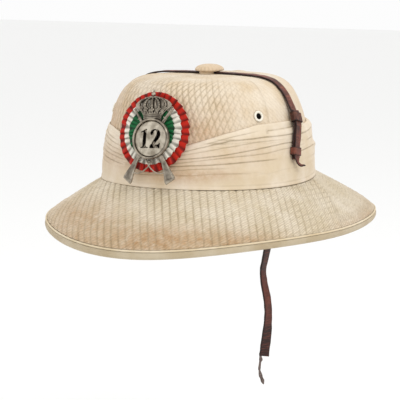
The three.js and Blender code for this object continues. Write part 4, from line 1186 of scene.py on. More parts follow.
middles = np.concatenate([strap_side(-1, 0), strap_side(1, 1)[::-1]])
middles[:, 2] = np.minimum(middles[:, 2], crown_top + GAP + STRAP_THICKNESS / 2)
rows, marks, cloth = strap_rows(middles, [0, 1, 0], STRAP_WIDTH, STRAP_THICKNESS, 21, 0.25)
over_strap = loft("strap_over_crown", rows, marks=marks, cloth=cloth)
brown_leather = leather("vegetable_tanned_leather", "#a1664f", "#7c4031", "#38190f", 16)
over_strap.data.materials.append(brown_leather)
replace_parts(over_strap, "over_strap")
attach(over_strap, "root")

# Doubled end. The strap's outer layer on the wearer's left, of the same leather. The keepers hold
# it down, and its narrow tip curls back.
TAIL_THICKNESS = 1.2
TAIL_TOP = 59.5
TAIL_LOW_END = 20
TIP_LENGTH = 9
TIP_WIDTH = 4
# Columns: share of the tip's length below the doubled end, backward and outward shares of it.
TIP_CURL = [(0.15, 0, 0.03), (0.5, 0.05, 0.1), (0.75, 0.35, 0.25), (0.82, 0.85, 0.45)]


def curve_through(points, steps):
    """Points on a smooth curve through rows of numbers."""
    points = np.asarray(points, float)
    padded = np.concatenate([[2 * points[0] - points[1]], points, [2 * points[-1] - points[-2]]])
    t = np.linspace(0, 1, steps, endpoint=False)[:, None]
    spans = []
    for a, b, c, d in zip(padded, padded[1:], padded[2:], padded[3:]):
        square = 2 * a - 5 * b + 4 * c - d
        cube = 3 * b - a - 3 * c + d
        spans.append(0.5 * (2 * b + (c - a) * t + square * t**2 + cube * t**3))
    return np.concatenate([*spans, points[-1:]])


tail_lift = STRAP_THICKNESS / 2 + 2 * GAP + TAIL_THICKNESS / 2
stations = []
for height in np.linspace(TAIL_TOP, TAIL_LOW_END, 40):
    at, up, across, out = strap_frame(height)
    stations.append([*(at + out * tail_lift), STRAP_WIDTH, 0])
foot_of_tail = np.array(stations[-1][:3])
tip = [
    [*(foot_of_tail + TIP_LENGTH * np.array([out, back, -down])), TIP_WIDTH, 0]
    for down, back, out in TIP_CURL
]
tip[0][3] = 7
tip[-1][3] = TIP_WIDTH * 0.55
tip = curve_through([stations[-1], *tip], 6)[1:]
stations = np.array(stations + tip.tolist())
rows, marks, cloth = strap_rows(
    stations[:, :3], [0, 1, 0.02], stations[:, 3], TAIL_THICKNESS, 31, 0.3
)
tail = loft("doubled_end", rows, marks=marks, cloth=cloth)
tail.data.materials.append(brown_leather)
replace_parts(tail, "strap_tail")
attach(tail, "root")

# Keepers. Two loops cut from the same leather and closed round both layers of the strap, which
# slides in them when it is let out.
UPPER_KEEPER = (53.4, 9.2)
LOWER_KEEPER = (25.4, 7.4)


def keeper(name, height, length, seed):
    """A loop at a height on the crown, as long as it reaches along the strap."""
    at, up, across, out = strap_frame(height)
    half = STRAP_WIDTH / 2 + 2 * GAP + KEEPER_THICKNESS / 2
    low = -STRAP_THICKNESS / 2 - GAP - KEEPER_THICKNESS / 2
    high = STRAP_THICKNESS / 2 + 3 * GAP + TAIL_THICKNESS + KEEPER_THICKNESS / 2
    middle, tall, corner = (low + high) / 2, (high - low) / 2, 1.1
    rows, edges = [], []
    bend = np.linspace(0, math.pi / 2, 5)
    path = []
    for sx, sy in ((1, 1), (-1, 1), (-1, -1), (1, -1)):
        quarter = bend if sx * sy > 0 else bend[::-1]
        for b in quarter:
            path.append(
                (
                    sx * (half - corner + corner * math.cos(b)),
                    sy * (tall - corner + corner * math.sin(b)),
                    sx * math.cos(b),
                    sy * math.sin(b),
                )
            )
        if sy > 0 and sx > 0:
            path += [
                (x, tall + 0.12 * math.cos(x / half * 1.5), 0, 1)
                for x in np.linspace(half - corner, -half + corner, 9)[1:-1]
            ]
        if sy < 0 and sx < 0:
            path += [(x, -tall, 0, -1) for x in np.linspace(-half + corner, half - corner, 9)[1:-1]]
    loop, edge = strap_section(length, KEEPER_THICKNESS)
    for i, (x, y, nx, ny) in enumerate(path):
        slack = 0.18 * ripple(np.stack([np.full(len(loop), i * 0.8), loop[:, 0]], -1), seed, 6)
        place = at + across * x + out * (middle + y)
        normal = across * nx + out * ny
        rows.append(place + np.outer(loop[:, 0] + slack * edge, up) + np.outer(loop[:, 1], normal))
        edges.append(edge)
    cloth = np.zeros((len(rows), len(loop) + 1, 2))
    cloth[:, :-1, 0] = loop[:, 0]
    cloth[:, -1, 0] = loop[0, 0]
    cloth[..., 1] = np.arange(len(rows))[:, None] * 0.9
    piece = loft(name, rows, ring=True, marks={"edge": np.array(edges)}, cloth=cloth)
    piece.data.materials.append(brown_leather)
    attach(piece, "root")
    return piece


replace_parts(keeper("upper_loop", *UPPER_KEEPER, 41), "upper_keeper")
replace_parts(keeper("lower_loop", *LOWER_KEEPER, 43), "lower_keeper")

# Hanging strap. A thinner leather strap that once met another under the chin, limp and twisted by
# age. It is riveted inside the opening, cut off below and torn along one edge.
HANGER_ANGLE = math.radians(70)
HANGER_WIDTH = 10.5
HANGER_THICKNESS = 1.8
HANGER_TOP = 12
HANGER_LOW_END = -160.5
TORN_END = -187
TORN_WIDTH = 3.2
FACET_GAP = 0.7
CUT_SLANT = 0.16
# Columns: share of the drop, sway outwards as a share of the width, turn in degrees.
HANGER_ROUTE = [
    (0, 0, 0),
    (0.05, 0, 0),
    (0.12, -0.08, 0),
    (0.2, 0, 2),
    (0.3, 0.08, 5),
    (0.39, 0.2, 8),
    (0.47, -0.1, 13),
    (0.54, -0.38, 16),
    (0.61, -0.22, 14),
    (0.69, 0.16, 10),
    (0.77, 0.28, 7),
    (0.86, 0.16, -4),
    (0.94, -0.04, -12),
    (1, -0.2, -15),
]
# Columns: share of the strip's length, sideways drift and width as shares of the strip's width.
TORN_ROUTE = [
    (-0.12, 0, 1),
    (0, 0, 0.8),
    (0.12, 0.1, 1.1),
    (0.2, -0.1, 0.6),
    (0.42, -0.35, 0.75),
    (0.5, -0.3, 0.55),
    (0.66, 0, 1.05),
    (0.78, 0.35, 0.85),
    (0.88, 0.7, 1.1),
    (1, 1, 0.3),
]
hanger_seat = crown_point(HANGER_ANGLE, 0, 1, -CROWN_WALL)
wall_along = np.array(
    [
        (HALF_WIDTH - CROWN_WALL) * math.cos(HANGER_ANGLE),
        (HALF_LENGTH - CROWN_WALL) * math.sin(HANGER_ANGLE),
        0,
    ]
)
wall_along /= np.linalg.norm(wall_along)
wall_out = np.array([wall_along[1], -wall_along[0], 0])


def wall_inset(height):
    """How far the crown's inside lies from its foot, outwards, at a height."""
    level = height / CROWN_HEIGHT
    point = crown_point(HANGER_ANGLE, level, crown_reach(level), 0)
    point = point - CROWN_WALL * np.array([math.sin(HANGER_ANGLE), -math.cos(HANGER_ANGLE), 0])
    return (point - hanger_seat) @ wall_out


hanger_in = wall_inset(HANGER_TOP) - FACET_GAP - HANGER_THICKNESS / 2
route = curve_through(HANGER_ROUTE, 9)
drop = HANGER_TOP + (HANGER_LOW_END - HANGER_TOP) * route[:, 0]
turn = np.radians(route[:, 2])
middles = hanger_seat + np.outer(hanger_in + route[:, 1] * HANGER_WIDTH, wall_out)
middles[:, 2] = drop
ways = np.stack([np.cos(turn), np.sin(turn)], -1)
turned = np.stack(
    [
        wall_along[0] * ways[:, 0] - wall_along[1] * ways[:, 1],
        wall_along[0] * ways[:, 1] + wall_along[1] * ways[:, 0],
        0 * turn,
    ],
    -1,
)
rows, marks, cloth = strap_rows(middles, turned, HANGER_WIDTH, HANGER_THICKNESS, 51, 0.3)
# The cut end slants a little.
rows[-1, :, 2] -= CUT_SLANT * ((rows[-1] - middles[-1]) @ turned[-1])
# It is darkest where it was handled: at the rim and at its end.
height_share = route[:, 0]
marks["age"] = (
    np.exp(-(((height_share - 0.42) / 0.1) ** 2)) + smooth_share(height_share, 0.74, 0.94) - 0.35
)[:, None]
parts = [loft("hanging_strap", rows, marks=marks, cloth=cloth)]
corner = middles[-1] + turned[-1] * (TORN_WIDTH - HANGER_WIDTH) / 2
torn = curve_through(TORN_ROUTE, 7)
middles = corner + np.outer(torn[:, 1] * TORN_WIDTH, turned[-1])
middles[:, 2] = HANGER_LOW_END + (TORN_END - HANGER_LOW_END) * torn[:, 0]
rows, marks, cloth = strap_rows(
    middles, turned[-1], torn[:, 2] * TORN_WIDTH, HANGER_THICKNESS * 0.7, 61, 0.25
)
parts.append(loft("torn_strip", rows, marks={"edge": 0.15 * marks["edge"]}, cloth=cloth))
dark_leather = leather("dried_chin_leather", "#804535", "#602d20", "#24100e", 34)
torn_leather = leather("torn_grey_leather", "#95857e", "#746560", "#4b3e3a", 8)
for part, material in zip(parts, (dark_leather, torn_leather)):
    part.data.materials.append(material)
hanger = join(parts, "torn_hanging_strap")
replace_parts(hanger, "hanging_strap")
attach(hanger, "root")

# Rivet. A turned brass rivet, dull with age. It goes through the hanging strap's upper end and
# holds it to the cork inside the head opening.
RIVET_RADIUS = 3.2
RIVET_SHANK = 1.6
rivet_height = HANGER_TOP / 2
shank_foot = -(wall_inset(rivet_height) - hanger_in - FACET_GAP)
head = HANGER_THICKNESS / 2 + GAP
rivet_seat = (
    hanger_seat + wall_out * hanger_in + np.array([0, 0, rivet_height]),
    -wall_along,
    np.array([0.0, 0, 1]),
    -wall_out,
)
rivet_profile = [
    (0.02, shank_foot),
    (RIVET_SHANK, shank_foot),
    (RIVET_SHANK, head),
    (0.97 * RIVET_RADIUS, head),
]
rivet_profile += [
    (RIVET_RADIUS * math.cos(b), head + 0.1 + 1.2 * math.sin(b)) for b in np.linspace(0.05, 1.5, 7)
]
rivet = loft("brass_rivet", seated(lathe(rivet_profile, 32), rivet_seat))
# Old turned brass: a soft yellow shine under brown spots of tarnish, 1.5 mm across.
dull_brass, tree, surface = finish("dull_turned_brass")
place = add(tree, "ShaderNodeTexCoord").outputs["Object"]
spots = add(tree, "ShaderNodeTexNoise", {"Vector": place, "Scale": 1000 / 1.5, "Detail": 4.0})
colour = add(
    tree,
    "ShaderNodeMix",
    {0: spots.outputs["Fac"], 6: to_linear("#b8935a"), 7: to_linear("#6b5231")},
    data_type="RGBA",
)
tree.links.new(colour.outputs[2], surface.inputs["Base Color"])
surface.inputs["Metallic"].default_value = 1.0
surface.inputs["Roughness"].default_value = 0.42
rivet.data.materials.append(dull_brass)
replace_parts(rivet, "strap_rivet")
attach(rivet, "root")

# Eyelets. Pressed brass rings painted cream, with a barrel that goes through cover and cork. They
# are rolled over on the cloth, and their paint is chipped at the rim.
EYELET_RADIUS = 4.9
EYELET_HOLE = 2.8
EYELET_BARREL = 3.4
EYELET_RIM = 1
roll = np.linspace(-0.35, math.pi + 0.5, 15)
middle = (EYELET_RADIUS + EYELET_HOLE) / 2
half = (EYELET_RADIUS - EYELET_HOLE) / 2
eyelet_profile = [
    (middle + half * math.cos(b), GAP + 0.12 + EYELET_RIM * math.sin(b)) for b in roll
]
eyelet_profile += [
    (EYELET_HOLE, -2),
    (EYELET_HOLE, -CROWN_WALL - EYELET_RIM),
    (EYELET_BARREL, -CROWN_WALL - EYELET_RIM),
    (EYELET_BARREL, -2),
    (EYELET_BARREL, GAP - 0.15),
]
# Oil paint on brass: cream with a low gloss, chipped to the brown metal in flecks of 1.2 mm.
cream_paint, tree, surface = finish("cream_painted_brass")
place = add(tree, "ShaderNodeTexCoord").outputs["Object"]
flecks = add(
    tree,
    "ShaderNodeTexNoise",
    {"Vector": place, "Scale": 1000 / 1.2, "Detail": 5.0, "Roughness": 0.65},
)
chips = add(tree, "ShaderNodeMapRange", {0: flecks.outputs["Fac"], 1: 0.6, 2: 0.64})
colour = add(
    tree,
    "ShaderNodeMix",
    {0: chips.outputs[0], 6: to_linear("#e9e2d2"), 7: to_linear("#6f6250")},
    data_type="RGBA",
)
tree.links.new(colour.outputs[2], surface.inputs["Base Color"])
bump = add(
    tree, "ShaderNodeBump", {"Height": chips.outputs[0], "Strength": -0.4, "Distance": 0.0002}
)
tree.links.new(bump.outputs["Normal"], surface.inputs["Normal"])
surface.inputs["Roughness"].default_value = 0.38
# The barrel is bare brass gone dark, painted nearly black for the shade inside the hole.
shaded_barrel, tree, surface = finish("shaded_brass_barrel")
crust = add(tree, "ShaderNodeTexNoise", {"Scale": 1000 / 0.8, "Detail": 3.0})
colour = add(
    tree,
    "ShaderNodeMix",
    {0: crust.outputs["Fac"], 6: to_linear("#2c241b"), 7: to_linear("#14100c")},
    data_type="RGBA",
)
tree.links.new(colour.outputs[2], surface.inputs["Base Color"])
surface.inputs["Metallic"].default_value = 0.3
surface.inputs["Roughness"].default_value = 0.7
for name, side in (("left_eyelet", 1), ("right_eyelet", -1)):
    seat = seat_on_crown(side * math.radians(EYELET_ANGLE), EYELET_HEIGHT)
    eyelet = loft(
        f"{name}_ring", seated(lathe(eyelet_profile, 48), seat), ring=True, lined_from=len(roll) - 1
    )
    eyelet.data.materials.append(cream_paint)
    eyelet.data.materials.append(shaded_barrel)
    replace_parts(eyelet, name)
    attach(eyelet, "root")

# Cockade. Three satin ribbons gathered in knife pleats into flat rings, sewn one on the other:
# red, white and green. The pleats open outwards and the same pleats lie over each other.
COCKADE_ACROSS = 3.5
COCKADE_HEIGHT = 48.7
COCKADE_TILT = math.radians(14)
COCKADE_STANDOFF = 2.3
COCKADE_BEND = 0.0025
COCKADE_FOLDS = 33
RIBBON = 1
FOLD_DEPTH = 0.7
RED_RADIUS = 35.9
WHITE_RADIUS = 29.4
GREEN_RADIUS = 23.3
RIBBON_BORE = 6
BADGE_RADIUS = 18.1
UNDER_BADGE = BADGE_RADIUS - 1
cockade_angle = math.asin(COCKADE_ACROSS / HALF_WIDTH)
cockade_origin = round_crown(cockade_angle, COCKADE_HEIGHT, COCKADE_STANDOFF)
cockade_up = np.array([0, math.sin(COCKADE_TILT), math.cos(COCKADE_TILT)])
cockade_out = np.array([0, -math.cos(COCKADE_TILT), math.sin(COCKADE_TILT)])


def on_cockade(points):
    """Points with u to the wearer's left, v up and n out of the cockade, bent with the crown."""
    u, v, n = np.moveaxis(np.asarray(points, float), -1, 0)
    bent = n - COCKADE_BEND * u * u
    flat = cockade_origin + u[..., None] * [1, 0, 0] + v[..., None] * cockade_up
    return flat + bent[..., None] * cockade_out


def pleated_ring(name, radius, covered, level, seed):
    """A ribbon ring at a level out from the crown, covered by the next one up to a radius."""
    random = np.random.default_rng(seed)
    per_fold = 12
    phase = np.tile(np.arange(per_fold) / per_fold, COCKADE_FOLDS)
    fold = np.repeat(np.arange(COCKADE_FOLDS), per_fold)
    shift = random.normal(0, 0.16, COCKADE_FOLDS)
    turn = 2 * math.pi * (fold + phase) / COCKADE_FOLDS
    # A knife pleat rises slowly and falls back under the next one.
    rise = np.where(phase < 0.62, phase / 0.62, (1 - phase) / 0.38) * 2 - 1
    rise = np.sign(rise) * np.abs(rise) ** 0.8
    uneven = random.uniform(0.75, 1.25, COCKADE_FOLDS)[fold]
    fray = random.normal(0, 0.16, COCKADE_FOLDS)[fold]
    rows, shade = [], []
    shares = np.concatenate(
        [np.linspace(RIBBON_BORE, covered, 4), np.linspace(covered, radius, 10)[1:]]
    )
    for top in (0, 1):
        for r in shares if top else shares[::-1]:
            free = max(0, (r - covered) / (radius - covered))
            depth = FOLD_DEPTH * r / RED_RADIUS + 0.25 * free * uneven
            reach = r + (fray - 0.2 * rise - 0.3) * free + 0 * turn
            swing = turn + (shift[fold] * 0.25 + 0.012 * rise) * free
            edge = 0.5 - 0.32 * smooth_share(free, 0.93, 1.0)
            thick = (0.5 + (edge if top else -edge)) * RIBBON
            out = level + depth * rise + thick
            rows.append(np.stack([reach * np.cos(swing), reach * np.sin(swing), out], -1))
            # Painted shade in the valleys of the pleats, strongest where the ribbon is free.
            in_fold = np.clip(0.15 - rise * uneven, 0, 1) * (0.6 + 0.4 * free)
            shade.append(in_fold if top else 0 * rise)
    cloth = np.zeros((len(rows), len(turn) + 1, 2))
    cloth[:, :-1, 0] = turn * radius
    cloth[:, -1, 0] = 2 * math.pi * radius
    cloth[..., 1] = np.concatenate([shares[::-1], shares])[:, None]
    return loft(name, on_cockade(rows), ring=True, marks={"shade": np.array(shade)}, cloth=cloth)


def satin(name, bright, faded, fold_shade):
    """Woven silk satin: smooth, with a soft gloss along its ribs. Painted shade darkens its folds,
    by the mark shade, and the dye is faded in patches of 5 mm."""
    material, tree, surface = finish(name)
    place = add(tree, "ShaderNodeTexCoord").outputs["Object"]
    laid = add(tree, "ShaderNodeAttribute", attribute_name="cloth").outputs["Vector"]
    shade = add(tree, "ShaderNodeAttribute", attribute_name="shade").outputs["Fac"]
    patches = add(tree, "ShaderNodeTexNoise", {"Vector": place, "Scale": 1000 / 5, "Detail": 4.0})
    aged = add(
        tree, "ShaderNodeMapRange", {0: patches.outputs["Fac"], 1: 0.42, 2: 0.66, 3: 0.0, 4: 0.6}
    )
    dye = add(
        tree,
        "ShaderNodeMix",
        {0: aged.outputs[0], 6: to_linear(bright), 7: to_linear(faded)},
        data_type="RGBA",
    )
    folded = add(
        tree, "ShaderNodeMix", {0: shade, 6: dye.outputs[2], 7: to_linear(fold_shade)}, data_type="RGBA"
    )
    tree.links.new(folded.outputs[2], surface.inputs["Base Color"])
    # Ribs across the ribbon, really 0.3 mm apart and drawn at 0.6.
    ribs = add(
        tree,
        "ShaderNodeTexWave",
        {"Vector": laid, "Scale": WAVE_PERIOD / 0.6, "Distortion": 0.4},
        bands_direction="X",
    )
    bump = add(
        tree, "ShaderNodeBump", {"Height": ribs.outputs["Fac"], "Strength": 0.3, "Distance": 0.0001}
    )
    tree.links.new(bump.outputs["Normal"], surface.inputs["Normal"])
    surface.inputs["Roughness"].default_value = 0.48
    surface.inputs["Specular IOR Level"].default_value = 0.22
    return material


ribbon_step = RIBBON + 2 * GAP
red_level = FOLD_DEPTH
# Columns: node, outer radius, radius that the next one covers, slot, the dye where it is bright
# and faded, and the painted shade in its folds.
RIBBONS = [
    ("cockade_red", RED_RADIUS, WHITE_RADIUS, "red_ribbon", "#b51a04", "#9c1c08", "#4c0500"),
    ("cockade_white", WHITE_RADIUS, GREEN_RADIUS, "white_ribbon", "#e4ded1", "#cbc3b3", "#6e675c"),
    ("cockade_green", GREEN_RADIUS, UNDER_BADGE, "green_ribbon", "#075a2c", "#126437", "#011a0a"),
]
for i, (node_name, radius, covered, slot_name, *dyes) in enumerate(RIBBONS):
    level = red_level + i * ribbon_step
    ring = pleated_ring(f"{node_name}_ribbon", radius, covered, level, 71 + i)
    ring.data.materials.append(satin(f"{slot_name}_satin", *dyes))
    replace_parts(ring, node_name)
    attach(ring, "root")

# Badge. Cast in one of a silvery white metal, then chased by hand: a rimmed plate over crossed
# rifles, a coronet and a bowed cord. Dirt has stayed in the hollows.
BADGE_RIM = 2.1
BADGE_DEPTH = 4
BADGE_PLATE = 1
RELIEF = 2.2
BADGE_ACROSS = 2.9
BADGE_DROP = 6.8
BADGE_TURN = math.radians(3.2)
RIFLE_LENGTH = 76
RIFLE_LEAN = math.radians(36)
RIFLE_CROSSING = 43
RIFLE_BUTT = 9
BARREL_RADIUS = 0.75
CORONET_HEIGHT = 24
CORONET_HALF = 18
CORD = 0.6
badge_level = red_level + 2 * ribbon_step + RIBBON + FOLD_DEPTH + GAP


def cast_form(outline, low, high, soft=0.35, holes=()):
    """A flat form with softened edges between two depths over the badge's back, in u, v and n."""
    curve = bpy.data.curves.new("form", "CURVE")
    curve.dimensions = "2D"
    curve.fill_mode = "BOTH"
    curve.extrude = (high - low) / 2 - soft
    curve.bevel_depth = soft
    curve.bevel_resolution = 2
    curve.offset = -soft
    for line in (outline, *holes):
        spline = curve.splines.new("POLY")
        spline.points.add(len(line) - 1)
        spline.points.foreach_set("co", np.array([(*p, 0, 1) for p in line], float).ravel())
        spline.use_cyclic_u = True
    shape = bpy.data.objects.new("form", curve)
    scene.collection.objects.link(shape)
    graph = bpy.context.evaluated_depsgraph_get()
    mesh = bpy.data.meshes.new_from_object(shape.evaluated_get(graph))
    bpy.data.objects.remove(shape)
    points = np.empty(len(mesh.vertices) * 3)
    mesh.vertices.foreach_get("co", points)
    points = points.reshape(-1, 3)
    points[:, 2] += badge_level + (low + high) / 2
    mesh.vertices.foreach_set("co", (points / 1000).ravel())
    form = bpy.data.objects.new("form", mesh)
    scene.collection.objects.link(form)
    return form


def cast_bar(points, radius, sides=10, flat=1.0, dirty=0.0):
    """A round bar along points in u, v and n, dirty by a share."""
    points = np.asarray(points, float)
    along = np.gradient(points, axis=0)
    along /= np.linalg.norm(along, axis=1)[:, None]
    side = np.cross(along, [0, 0, 1])
    side /= np.linalg.norm(side, axis=1)[:, None]
    over = np.cross(side, along)
    radius = np.broadcast_to(radius, len(points))
    turn = np.linspace(0, 2 * math.pi, sides, endpoint=False)
    rows = [
        p + r * (np.outer(np.cos(turn), s) + flat * np.outer(np.sin(turn), o))
        for p, r, s, o in zip(points, radius, side, over)
    ]
    return loft("bar", rows, marks={"shade": dirty})


def cast_pearl(u, v, n, radius, tall=1.0):
    """A round stud, flattened to a share of its height."""
    bend = np.linspace(0.12, math.pi - 0.12, 7)
    profile = [(radius * math.sin(b), radius * tall * math.cos(b)) for b in bend]
    return loft("pearl", [row + [u, v, n] for row in lathe(profile, 12)])


def seat_casting(parts, name):
    """Joins cast parts, turns them a little, and bends them onto the cockade below its middle."""
    piece = join(parts, name)
    points = np.empty(len(piece.data.vertices) * 3)
    piece.data.vertices.foreach_get("co", points)
    u, v, n = points.reshape(-1, 3).T * 1000
    across = u * math.cos(BADGE_TURN) - v * math.sin(BADGE_TURN) + BADGE_ACROSS
    up = u * math.sin(BADGE_TURN) + v * math.cos(BADGE_TURN) - BADGE_DROP
    seated_points = on_cockade(np.stack([across, up, n], -1))
    piece.data.vertices.foreach_set("co", (seated_points / 1000).ravel())
    piece.data.set_sharp_from_angle(angle=math.radians(50))
    return piece


rim_inside = BADGE_RADIUS - BADGE_RIM
plate_rows = [
    (0.05, 0),
    (BADGE_RADIUS - 0.4, 0),
    (BADGE_RADIUS, 0.4),
    (BADGE_RADIUS, 0.6 * BADGE_DEPTH),
]
crest = np.linspace(0, math.pi, 9)
plate_rows += [
    (BADGE_RADIUS - 0.95 + 0.95 * math.cos(b), 0.72 * BADGE_DEPTH + 1.1 * math.sin(b))
    for b in crest
]
plate_rows += [
    (rim_inside + 0.12, 0.62 * BADGE_DEPTH),
    (rim_inside, BADGE_PLATE + 0.3),
    (rim_inside - 0.3, BADGE_PLATE),
    (0.05, BADGE_PLATE),
]
# The plate's face is painted black where the number lets it show, for the shade behind the disc.
shade_behind_disc = np.arange(len(plate_rows))[:, None] >= len(plate_rows) - 3
plate = loft(
    "plate",
    lathe([(r, badge_level + n) for r, n in plate_rows], 96),
    marks={"shade": 1.0 * shade_behind_disc},
)
# The shank goes back through the ribbons' bore, above the plate's middle.
bore = (-BADGE_ACROSS, BADGE_DROP)
shank = cast_bar(
    [(bore[0], bore[1] + 0.01 * i, badge_level + 0.5 - 0.9 * i) for i in range(8)], 2.5, 16
)

# A rifle from its butt up. Columns: share of the length, and its two edges as shares of the
# butt's width.
RIFLE_EDGES = [
    (0, -0.96, 0.06),
    (0.03, -1, 0.15),
    (0.13, -0.62, 0.15),
    (0.24, -0.28, 0.18),
    (0.3, -0.2, 0.2),
    (0.34, -0.34, 0.2),
    (0.38, -0.18, 0.2),
    (0.5, -0.17, 0.19),
    (0.62, -0.16, 0.18),
    (0.74, -0.15, 0.17),
    (0.86, -0.14, 0.15),
    (0.865, -0.1, 0.11),
    (1, -0.1, 0.1),
]


def on_rifle(side, across, up):
    """A place on a rifle, whose butt is at the bottom on the given side."""
    x, y = across * RIFLE_BUTT, up * RIFLE_LENGTH - RIFLE_CROSSING
    leaning_x = x * math.cos(RIFLE_LEAN) - y * math.sin(RIFLE_LEAN)
    leaning_y = x * math.sin(RIFLE_LEAN) + y * math.cos(RIFLE_LEAN)
    return side * leaning_x, leaning_y


parts = [plate, shank]
for side, lift in ((1, 0.0), (-1, 0.15)):
    edges = [on_rifle(side, right, up) for up, _, right in RIFLE_EDGES]
    edges += [on_rifle(side, left, up) for up, left, _ in RIFLE_EDGES[::-1]]
    parts.append(cast_form(edges, 0, RELIEF - 0.5, 0.4))
    level = badge_level + RELIEF - 0.55 + lift
    barrel = [(*on_rifle(side, 0.03, t), level) for t in np.linspace(0.36, 0.985, 14)]
    parts.append(cast_bar(barrel, BARREL_RADIUS, 10))
    # The butt is rounded on its side, with a plate along its end and a bright comb.
    stock = [
        (*on_rifle(side, 0.02 - 0.42 * (1 - t / 0.3) ** 1.1, t), level - 0.5)
        for t in np.linspace(0.03, 0.3, 9)
    ]
    parts.append(cast_bar(stock, np.linspace(3.4, 1.1, 9), 14, 0.34, 0.35))
    heel = [
        (*on_rifle(side, w, 0.012 + 0.02 * (w + 0.45) ** 2), level - 0.35)
        for w in np.linspace(-0.9, 0.04, 7)
    ]
    parts.append(cast_bar(heel, 0.55, 8))
    comb = [(*on_rifle(side, 0.1, t), level - 0.5) for t in np.linspace(0.02, 0.3, 7)]
    parts.append(cast_bar(comb, 0.5, 8))
    for t in (0.42, 0.56, 0.7, 0.86):
        left, right = on_rifle(side, -0.2, t), on_rifle(side, 0.22, t)
        parts.append(cast_bar([(*left, level + 0.15), (*right, level + 0.15)], 0.5, 8))
    knob = on_rifle(side, 0.42, 0.34)
    parts.append(cast_bar([(*on_rifle(side, 0.1, 0.36), level), (*knob, level)], 0.4, 8))
    parts.append(cast_pearl(*knob, level, 0.75))
    guard = [
        (*on_rifle(side, -0.22 - 0.24 * math.sin(b), 0.29 + 0.05 * b / math.pi), level - 0.4)
        for b in np.linspace(0, math.pi, 9)
    ]
    parts.append(cast_bar(guard, 0.35, 8))

# The coronet. Columns: share of the half width, share of the height.
CORONET_OUTLINE = [
    (0.48, -0.06), (0.49, 0.04), (0.51, 0.12), (0.59, 0.22), (0.74, 0.34), (0.89, 0.41), (1, 0.48),
    (1, 0.57), (0.88, 0.66), (0.72, 0.73), (0.56, 0.775), (0.4, 0.81), (0.2, 0.84),
]
# Columns: middle across and up, half sizes across and up.
CORONET_OPENINGS = [
    (-0.68, 0.53, 0.1, 0.09),
    (-0.24, 0.6, 0.13, 0.12),
    (0.24, 0.6, 0.13, 0.12),
    (0.68, 0.53, 0.1, 0.09),
]
coronet_foot = BADGE_RADIUS - BADGE_RIM / 2


def on_coronet(u, v):
    """A place on the coronet from shares of its half width and height."""
    return u * CORONET_HALF, coronet_foot + v * CORONET_HEIGHT


outline = [on_coronet(u, v) for u, v in CORONET_OUTLINE] + [on_coronet(0, 0.86)]
outline += [on_coronet(-u, v) for u, v in CORONET_OUTLINE[::-1]]
holes = []
for u, v, half, tall in CORONET_OPENINGS:
    ring = np.linspace(2 * math.pi, 0, 20, endpoint=False)
    bow = [
        (u + half * math.cos(b) * (0.75 + 0.25 * math.sin(b)), v + tall * math.sin(b)) for b in ring
    ]
    holes.append([on_coronet(*p) for p in bow])
parts.append(cast_form(outline, 0, RELIEF - 0.3, 0.4, holes))
level = badge_level + RELIEF
# The band has two ribs with stones between them, and five arches of pearls meet at the top.
for v, half, thick in ((0.03, 0.47, 0.75), (0.1, 0.49, 0.45), (0.17, 0.53, 0.6)):
    rib = [
        (*on_coronet(u, v + 0.03 * (1 - (u / half) ** 2)), level - 0.3)
        for u in np.linspace(-half, half, 13)
    ]
    parts.append(cast_bar(rib, thick, 10))
for i in range(7):
    u = -0.42 + 0.14 * i
    stone = on_coronet(u, 0.245 - 0.04 * u * u)
    parts.append(cast_pearl(*stone, level - 0.1, 0.85 if i % 2 else 1.1, 0.6))
for lean in (-0.92, -0.5, 0, 0.5, 0.92):
    t = np.linspace(0, 1, 15)
    low, bow, high = (lean * 0.6, 0.27), (lean * 1.2, 0.62 + 0.1 * abs(lean)), (0, 0.84)
    path = [
        [a * (1 - k) ** 2 + 2 * b * k * (1 - k) + c * k * k for a, b, c in zip(low, bow, high)]
        for k in t
    ]
    bowed = level - 0.2 + 0.9 * np.sin(math.pi * t)
    places = [on_coronet(*p) for p in path]
    arch = [(u, v + 1e-3 * i, n) for i, ((u, v), n) in enumerate(zip(places, bowed))]
    parts.append(cast_bar(arch, 0.7, 8))
    for j in range(1, 14):
        parts.append(cast_pearl(*on_coronet(*path[j]), bowed[j] + 0.5, 0.6 + 0.3 * (j % 2)))
    # A leaf stands on the band at the foot of each arch.
    for du, dv in ((0, 0.05), (-0.055, 0.01), (0.055, 0.01), (0, -0.03)):
        leaf = on_coronet(lean * 0.72 + du, 0.35 + 0.06 * abs(lean) + dv)
        parts.append(cast_pearl(*leaf, level + 0.1, 1.0, 0.7))
for i in range(9):
    u = -0.76 + 0.19 * i
    edging = on_coronet(u, 0.4 + 0.05 * u * u + 0.03 * (i % 2))
    parts.append(cast_pearl(*edging, level - 0.1, 0.8, 0.8))
parts.append(cast_pearl(*on_coronet(0, 0.93), level - 0.3, 2.0))
parts.append(cast_pearl(*on_coronet(0, 1.03), level - 0.4, 1.1))
parts.append(cast_pearl(*on_coronet(0, 1.085), level - 0.4, 0.6))

# The cord: two bowed strands cross below the plate and run to the rifles. Columns: shares of the
# plate's radius across and up.
CORD_ROUTE = [
    (-0.2, -0.93),
    (-0.08, -1.17),
    (0.05, -1.36),
    (0.36, -1.6),
    (0.64, -1.68),
    (0.92, -1.6),
]
for side in (1, -1):
    route = [
        (side * u * BADGE_RADIUS, v * BADGE_RADIUS, badge_level + 1.2 + 0.3 * side)
        for u, v in CORD_ROUTE
    ]
    strand = curve_through(route, 8)
    twist = CORD * (1 + 0.14 * np.sin(np.arange(len(strand)) * 2.1))
    parts.append(cast_bar(strand, twist, 10))
parts.append(cast_pearl(0, -1.1 * BADGE_RADIUS, badge_level + 1.4, 1.5, 0.7))
badge = seat_casting(parts, "cast_badge")


